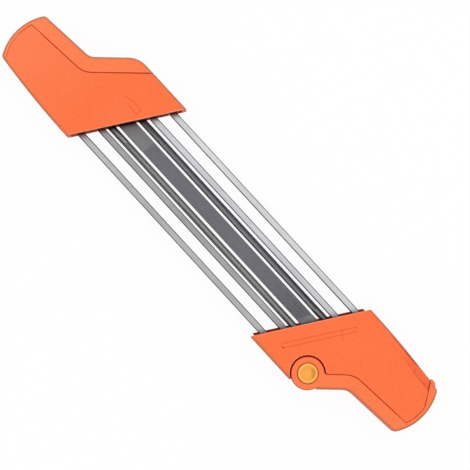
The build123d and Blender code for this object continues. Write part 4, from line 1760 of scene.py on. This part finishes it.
@dataclass
class ScrewSet:
    """The screws of one CAD node, which all share one size. The crease is in degrees and the weld in mm."""

    node: str
    screw: PanScrew
    seed: int
    crease: float = 30.0
    weld: float = 0.003

    def places(self) -> bpy.types.Mesh:
        """Finds the middle of each screw's head face in the CAD node.

        Returns:
            A mesh of loose points.
        """
        work = bmesh.new()
        work.from_mesh(frame["nodes"][self.node].data)
        bmesh.ops.remove_doubles(work, verts=work.verts[:], dist=self.weld * MM)
        left = set(work.verts)
        points = []
        while left:
            island, edge = set(), [left.pop()]
            while edge:
                vert = edge.pop()
                island.add(vert)
                for other in (e.other_vert(vert) for e in vert.link_edges):
                    if other in left:
                        left.discard(other)
                        edge.append(other)
            xs, ys = [v.co.x for v in island], [v.co.y for v in island]
            low = min(v.co.z for v in island)
            points.append(((min(xs) + max(xs)) / 2, (min(ys) + max(ys)) / 2, low))
        work.free()
        mesh = bpy.data.meshes.new(self.node + "_places")
        mesh.from_pydata(sorted(points), [], [])
        return mesh

    def dress(self) -> bpy.types.Object:
        """Returns:
            The finished piece.
        """
        low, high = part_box(self.node)
        self.screw.length = (high.z - low.z) / MM
        model = self.screw.build()
        piece = link_new(self.node + "_cut", self.places())
        ScrewTree.apply(piece, Screw=model, Seed=self.seed, Finish=SHELF.take(ZINC))
        bpy.data.objects.remove(model)
        shade_smooth(piece.data, self.crease)
        return settle(piece, Body.HOLDER, "zinc_steel", self.node)


@dataclass
class Fasteners:
    """The screws that close the shells from below, and the one that holds the pivot pin."""

    sets: list[ScrewSet] = field(
        default_factory=lambda: [
            ScrewSet("rear_shell_screws", PanScrew(), seed=3),
            ScrewSet("front_shell_screws", PanScrew(), seed=5),
            ScrewSet("pivot_screw", PanScrew(head_radius=2.7, shank_radius=1.5), seed=7),
        ]
    )

    def dress(self) -> None:
        """Builds every screw and puts it on its body."""
        for screws in self.sets:
            screws.dress()


@dataclass
class SawFile:
    """One file: a cut body that lies between the two carriers, a shoulder and a tang.

    Sizes are in mm, and a tang's pairs are its half width and half depth.
    """

    node: str
    section: Section
    width: float
    thickness: float
    teeth_per_cm: float
    tooth_depth: float
    slant: float
    cut_start: float
    cut_end: float
    finish: CutFileSteel
    shoulder: float = 2.0
    tang_root: tuple[float, float] = (2.0, 2.0)
    tang_tip: tuple[float, float] = (1.1, 1.1)
    tang_seat: float = 1.0
    tang_fit: float = 0.97
    tip_length: float = 0.4
    tip_share: float = 0.8
    corner: float = 0.3
    round_sides: int = 32
    flat_steps: int = 8
    rows_per_tooth: int = 4
    weld: float = 0.0005
    crease: float = 34.0
    body_length: float = 0.0
    centre: Vector = field(default_factory=Vector)
    end: float = 0.0

    def measure(self, seat: float, mouth: float) -> None:
        """Takes the file's place from its CAD node.

        Args:
            seat: How far the cut body goes into a carrier.
            mouth: X of the rear mouth on the middle line.
        """
        low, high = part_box(self.node)
        self.centre = (low + high) / (2 * MM)
        start, end = low.x / MM, mouth + self.centre.y * FILING_SLOPE + seat
        self.body_length = end - start
        self.centre.x = (start + end) / 2
        self.end = high.x / MM

    def outline(self) -> list[tuple[float, float]]:
        """Draws the section as points across and up, in order.

        Returns:
            The points, in mm about the section's middle.
        """
        half, rise, cut = self.width / 2, self.thickness / 2, self.corner
        if self.section is Section.ROUND:
            turns = [2 * math.pi * i / self.round_sides for i in range(self.round_sides)]
            return [(half * math.cos(turn), half * math.sin(turn)) for turn in turns]
        steps = self.flat_steps
        across = [-half + cut + (2 * half - 2 * cut) * i / steps for i in range(steps + 1)]
        low = [(x, -rise) for x in across]
        right = [(half, -rise + cut), (half, 0.0), (half, rise - cut)]
        high = [(x, rise) for x in reversed(across)]
        left = [(-half, rise - cut), (-half, 0.0), (-half, -rise + cut)]
        return low + right + high + left

    def sweep(self) -> bpy.types.Object:
        """Sweeps the section into the body and cuts its teeth.

        Returns:
            The body as plain mesh, about the origin.
        """
        points = self.outline()
        mesh = bpy.data.meshes.new(self.node + "_section")
        edges = [(i, (i + 1) % len(points)) for i in range(len(points))]
        mesh.from_pydata([(a * MM, b * MM, 0.0) for a, b in points], edges, [])
        teeth = round(self.body_length / (10.0 / self.teeth_per_cm))
        return SweepTree.apply(
            link_new(self.node + "_cut", mesh),
            Length=self.body_length * MM,
            Pitch=self.body_length * MM / teeth,
            Tooth_Depth=self.tooth_depth * MM,
            Slant=self.slant,
            Cut_Start=(self.cut_start - self.centre.x) * MM,
            Cut_End=(self.cut_end - self.centre.x) * MM,
            Rows=teeth * self.rows_per_tooth + 1,
            Finish=SHELF.take(self.finish),
        )

    def tang(self, work: bmesh.types.BMesh) -> None:
        """Adds the closed shoulder and tang, which start inside the body's end.

        Args:
            work: The mesh to add them to, about the origin.
        """
        end, tip = self.body_length / 2, self.end - self.centre.x
        half, rise, fit = self.width / 2, self.thickness / 2, self.tang_fit
        (root_wide, root_deep), (tip_wide, tip_deep) = self.tang_root, self.tang_tip
        stations = [
            (end - self.tang_seat, fit, fit),
            (end, fit, fit),
            (end + self.shoulder, root_wide / half, root_deep / rise),
            (tip - self.tip_length, tip_wide / half, tip_deep / rise),
            (tip, self.tip_share * tip_wide / half, self.tip_share * tip_deep / rise),
        ]
        points = self.outline()
        rings = []
        for x, wide, deep in stations:
            rings.append([work.verts.new((x * MM, a * wide * MM, b * deep * MM)) for a, b in points])
        join_rings(work, rings)

    def build(self) -> bpy.types.Object:
        """Builds the whole file in place.

        Returns:
            The finished mesh object, not yet put on its body.
        """
        piece = self.sweep()
        work = bmesh.new()
        work.from_mesh(piece.data)
        bmesh.ops.remove_doubles(work, verts=work.verts[:], dist=self.weld * MM)
        self.tang(work)
        bmesh.ops.recalc_face_normals(work, faces=work.faces[:])
        bmesh.ops.translate(work, verts=work.verts[:], vec=self.centre * MM)
        work.to_mesh(piece.data)
        work.free()
        shade_smooth(piece.data, self.crease)
        piece.name = self.node + "_toothed"
        return piece

    def dress(self) -> bpy.types.Object:
        return settle(self.build(), Body.HOLDER, "file_steel", self.node)


@dataclass
class FileSet:
    """The two round files and the flat file between them. Sizes are in mm."""

    seat: float = 12.399
    mouth: float = 88.2
    files: list[SawFile] = field(
        default_factory=lambda: [
            SawFile(
                "round_file_left",
                Section.ROUND,
                width=4.8,
                thickness=4.8,
                teeth_per_cm=13.0,
                tooth_depth=0.14,
                slant=0.45,
                cut_start=-104.0,
                cut_end=84.5,
                finish=ROUND_LEFT,
            ),
            SawFile(
                "round_file_right",
                Section.ROUND,
                width=4.8,
                thickness=4.8,
                teeth_per_cm=13.0,
                tooth_depth=0.14,
                slant=0.45,
                cut_start=-81.8,
                cut_end=83.0,
                finish=ROUND_RIGHT,
            ),
            SawFile(
                "flat_file",
                Section.FLAT,
                width=9.953,
                thickness=3.0,
                teeth_per_cm=11.0,
                tooth_depth=0.13,
                slant=0.5,
                cut_start=-68.6,
                cut_end=84.0,
                finish=FLAT_STEEL,
                shoulder=0.1,
                tang_root=(3.8, 1.2),
                tang_tip=(1.8, 1.2),
            ),
        ]
    )

    def dress(self) -> None:
        for one in self.files:
            one.measure(self.seat, self.mouth)
            one.dress()


@dataclass
class PhotoCamera:
    """The camera at the photograph's place, in mm and pixels of a square picture. The clip is in metres."""

    place: Point = (104.957, -60.3125, 1560.633)
    right: Point = (0.67542421, 0.73735925, -0.01017223)
    up: Point = (-0.7350255, 0.67427127, 0.07138465)
    focal_pixels: float = 2382.43
    picture: int = 470
    sensor: float = 36.0
    clip: tuple[float, float] = (0.05, 20.0)

    def build(self) -> bpy.types.Object:
        """Makes the camera and gives it to the scene.

        Returns:
            The camera object.
        """
        data = bpy.data.cameras.new("photo_camera")
        data.sensor_fit = "HORIZONTAL"
        data.sensor_width = self.sensor
        data.lens = self.focal_pixels * self.sensor / self.picture
        data.clip_start, data.clip_end = self.clip
        camera = bpy.data.objects.new("photo_camera", data)
        bpy.context.scene.collection.objects.link(camera)
        right, up = Vector(self.right).normalized(), Vector(self.up).normalized()
        turn = Matrix((right, up, right.cross(up))).transposed().to_4x4()
        camera.matrix_world = Matrix.Translation(Vector(self.place) * MM) @ turn
        bpy.context.scene.camera = camera
        return camera


@dataclass
class SoftBox:
    """One square lamp that lights the tool's middle. Places and widths are in metres, power in watts."""

    name: str
    place: Point
    width: float
    power: float
    mirrored: bool = True

    def build(self) -> bpy.types.Object:
        """Makes the lamp.

        Returns:
            The lamp object.
        """
        data = bpy.data.lights.new(self.name, "AREA")
        data.shape = "SQUARE"
        data.size = self.width
        data.energy = self.power
        lamp = bpy.data.objects.new(self.name, data)
        bpy.context.scene.collection.objects.link(lamp)
        place = Vector(self.place)
        turn = place.to_track_quat("Z", "Y").to_matrix().to_4x4()
        lamp.matrix_world = Matrix.Translation(place) @ turn
        lamp.visible_glossy = self.mirrored
        return lamp


@dataclass
class Studio:
    """The plain studio: a pale floor, a dim even sky, a broad lamp overhead and a softbox to each side."""

    floor_width: float = 8.0
    floor_drop: float = 0.1 * MM
    sky: float = 0.4
    lamps: list[SoftBox] = field(
        default_factory=lambda: [
            SoftBox("overhead_bank", (0.0, 0.1, 1.9), width=1.8, power=22.0, mirrored=False),
            SoftBox("side_softbox", (0.55, 1.25, 0.95), width=0.8, power=4.0),
            SoftBox("fill_softbox", (-0.55, -1.25, 0.95), width=0.8, power=4.0),
        ]
    )

    def build_floor(self) -> bpy.types.Object:
        """Makes the floor just under the tool.

        Returns:
            The floor object.
        """
        mesh = bpy.data.meshes.new("studio_floor")
        half, low = self.floor_width / 2, -self.floor_drop
        corners = [(-half, -half, low), (half, -half, low), (half, half, low), (-half, half, low)]
        mesh.from_pydata(corners, [], [(0, 1, 2, 3)])
        mesh.materials.append(StudioFloor().build())
        floor = link_new("studio_floor", mesh)
        return floor

    def build_sky(self) -> None:
        """Makes the world: even light on the tool, and plain white where it is seen."""
        world = bpy.data.worlds.new("studio_sky")
        world.use_nodes = True
        world.node_tree.nodes.clear()
        sheet, white = NodeSheet(world.node_tree), rgba((1.0, 1.0, 1.0))
        light, seen = [
            sheet.add("ShaderNodeBackground", {"Color": white, "Strength": strength}).outputs[0]
            for strength in (self.sky, 1.0)
        ]
        mixed = sheet.add("ShaderNodeMixShader", {0: seen_directly(sheet), 1: light, 2: seen})
        sheet.add("ShaderNodeOutputWorld", {"Surface": mixed.outputs[0]})
        bpy.context.scene.world = world

    def build(self) -> None:
        """Builds the floor, the sky, the lamps and the view settings."""
        self.build_floor()
        self.build_sky()
        for lamp in self.lamps:
            lamp.build()
        bpy.context.scene.view_settings.view_transform = "Standard"


def main() -> None:
    """Builds and dresses every sub-assembly in order."""
    logging.basicConfig(level=logging.INFO, format="%(name)s: %(message)s")
    PhotoCamera().build()
    Studio().build()
    for part in frame["record"]["subparts"]:
        dress_node(part["node"], part["material_slot"])
    grips = (RearGrip(), FrontGrip(), LockingLever(), PivotStack())
    for assembly in (*grips, GuideRods(), Carriers(), Fasteners(), FileSet()):
        assembly.dress()


if __name__ == "__main__":
    main()
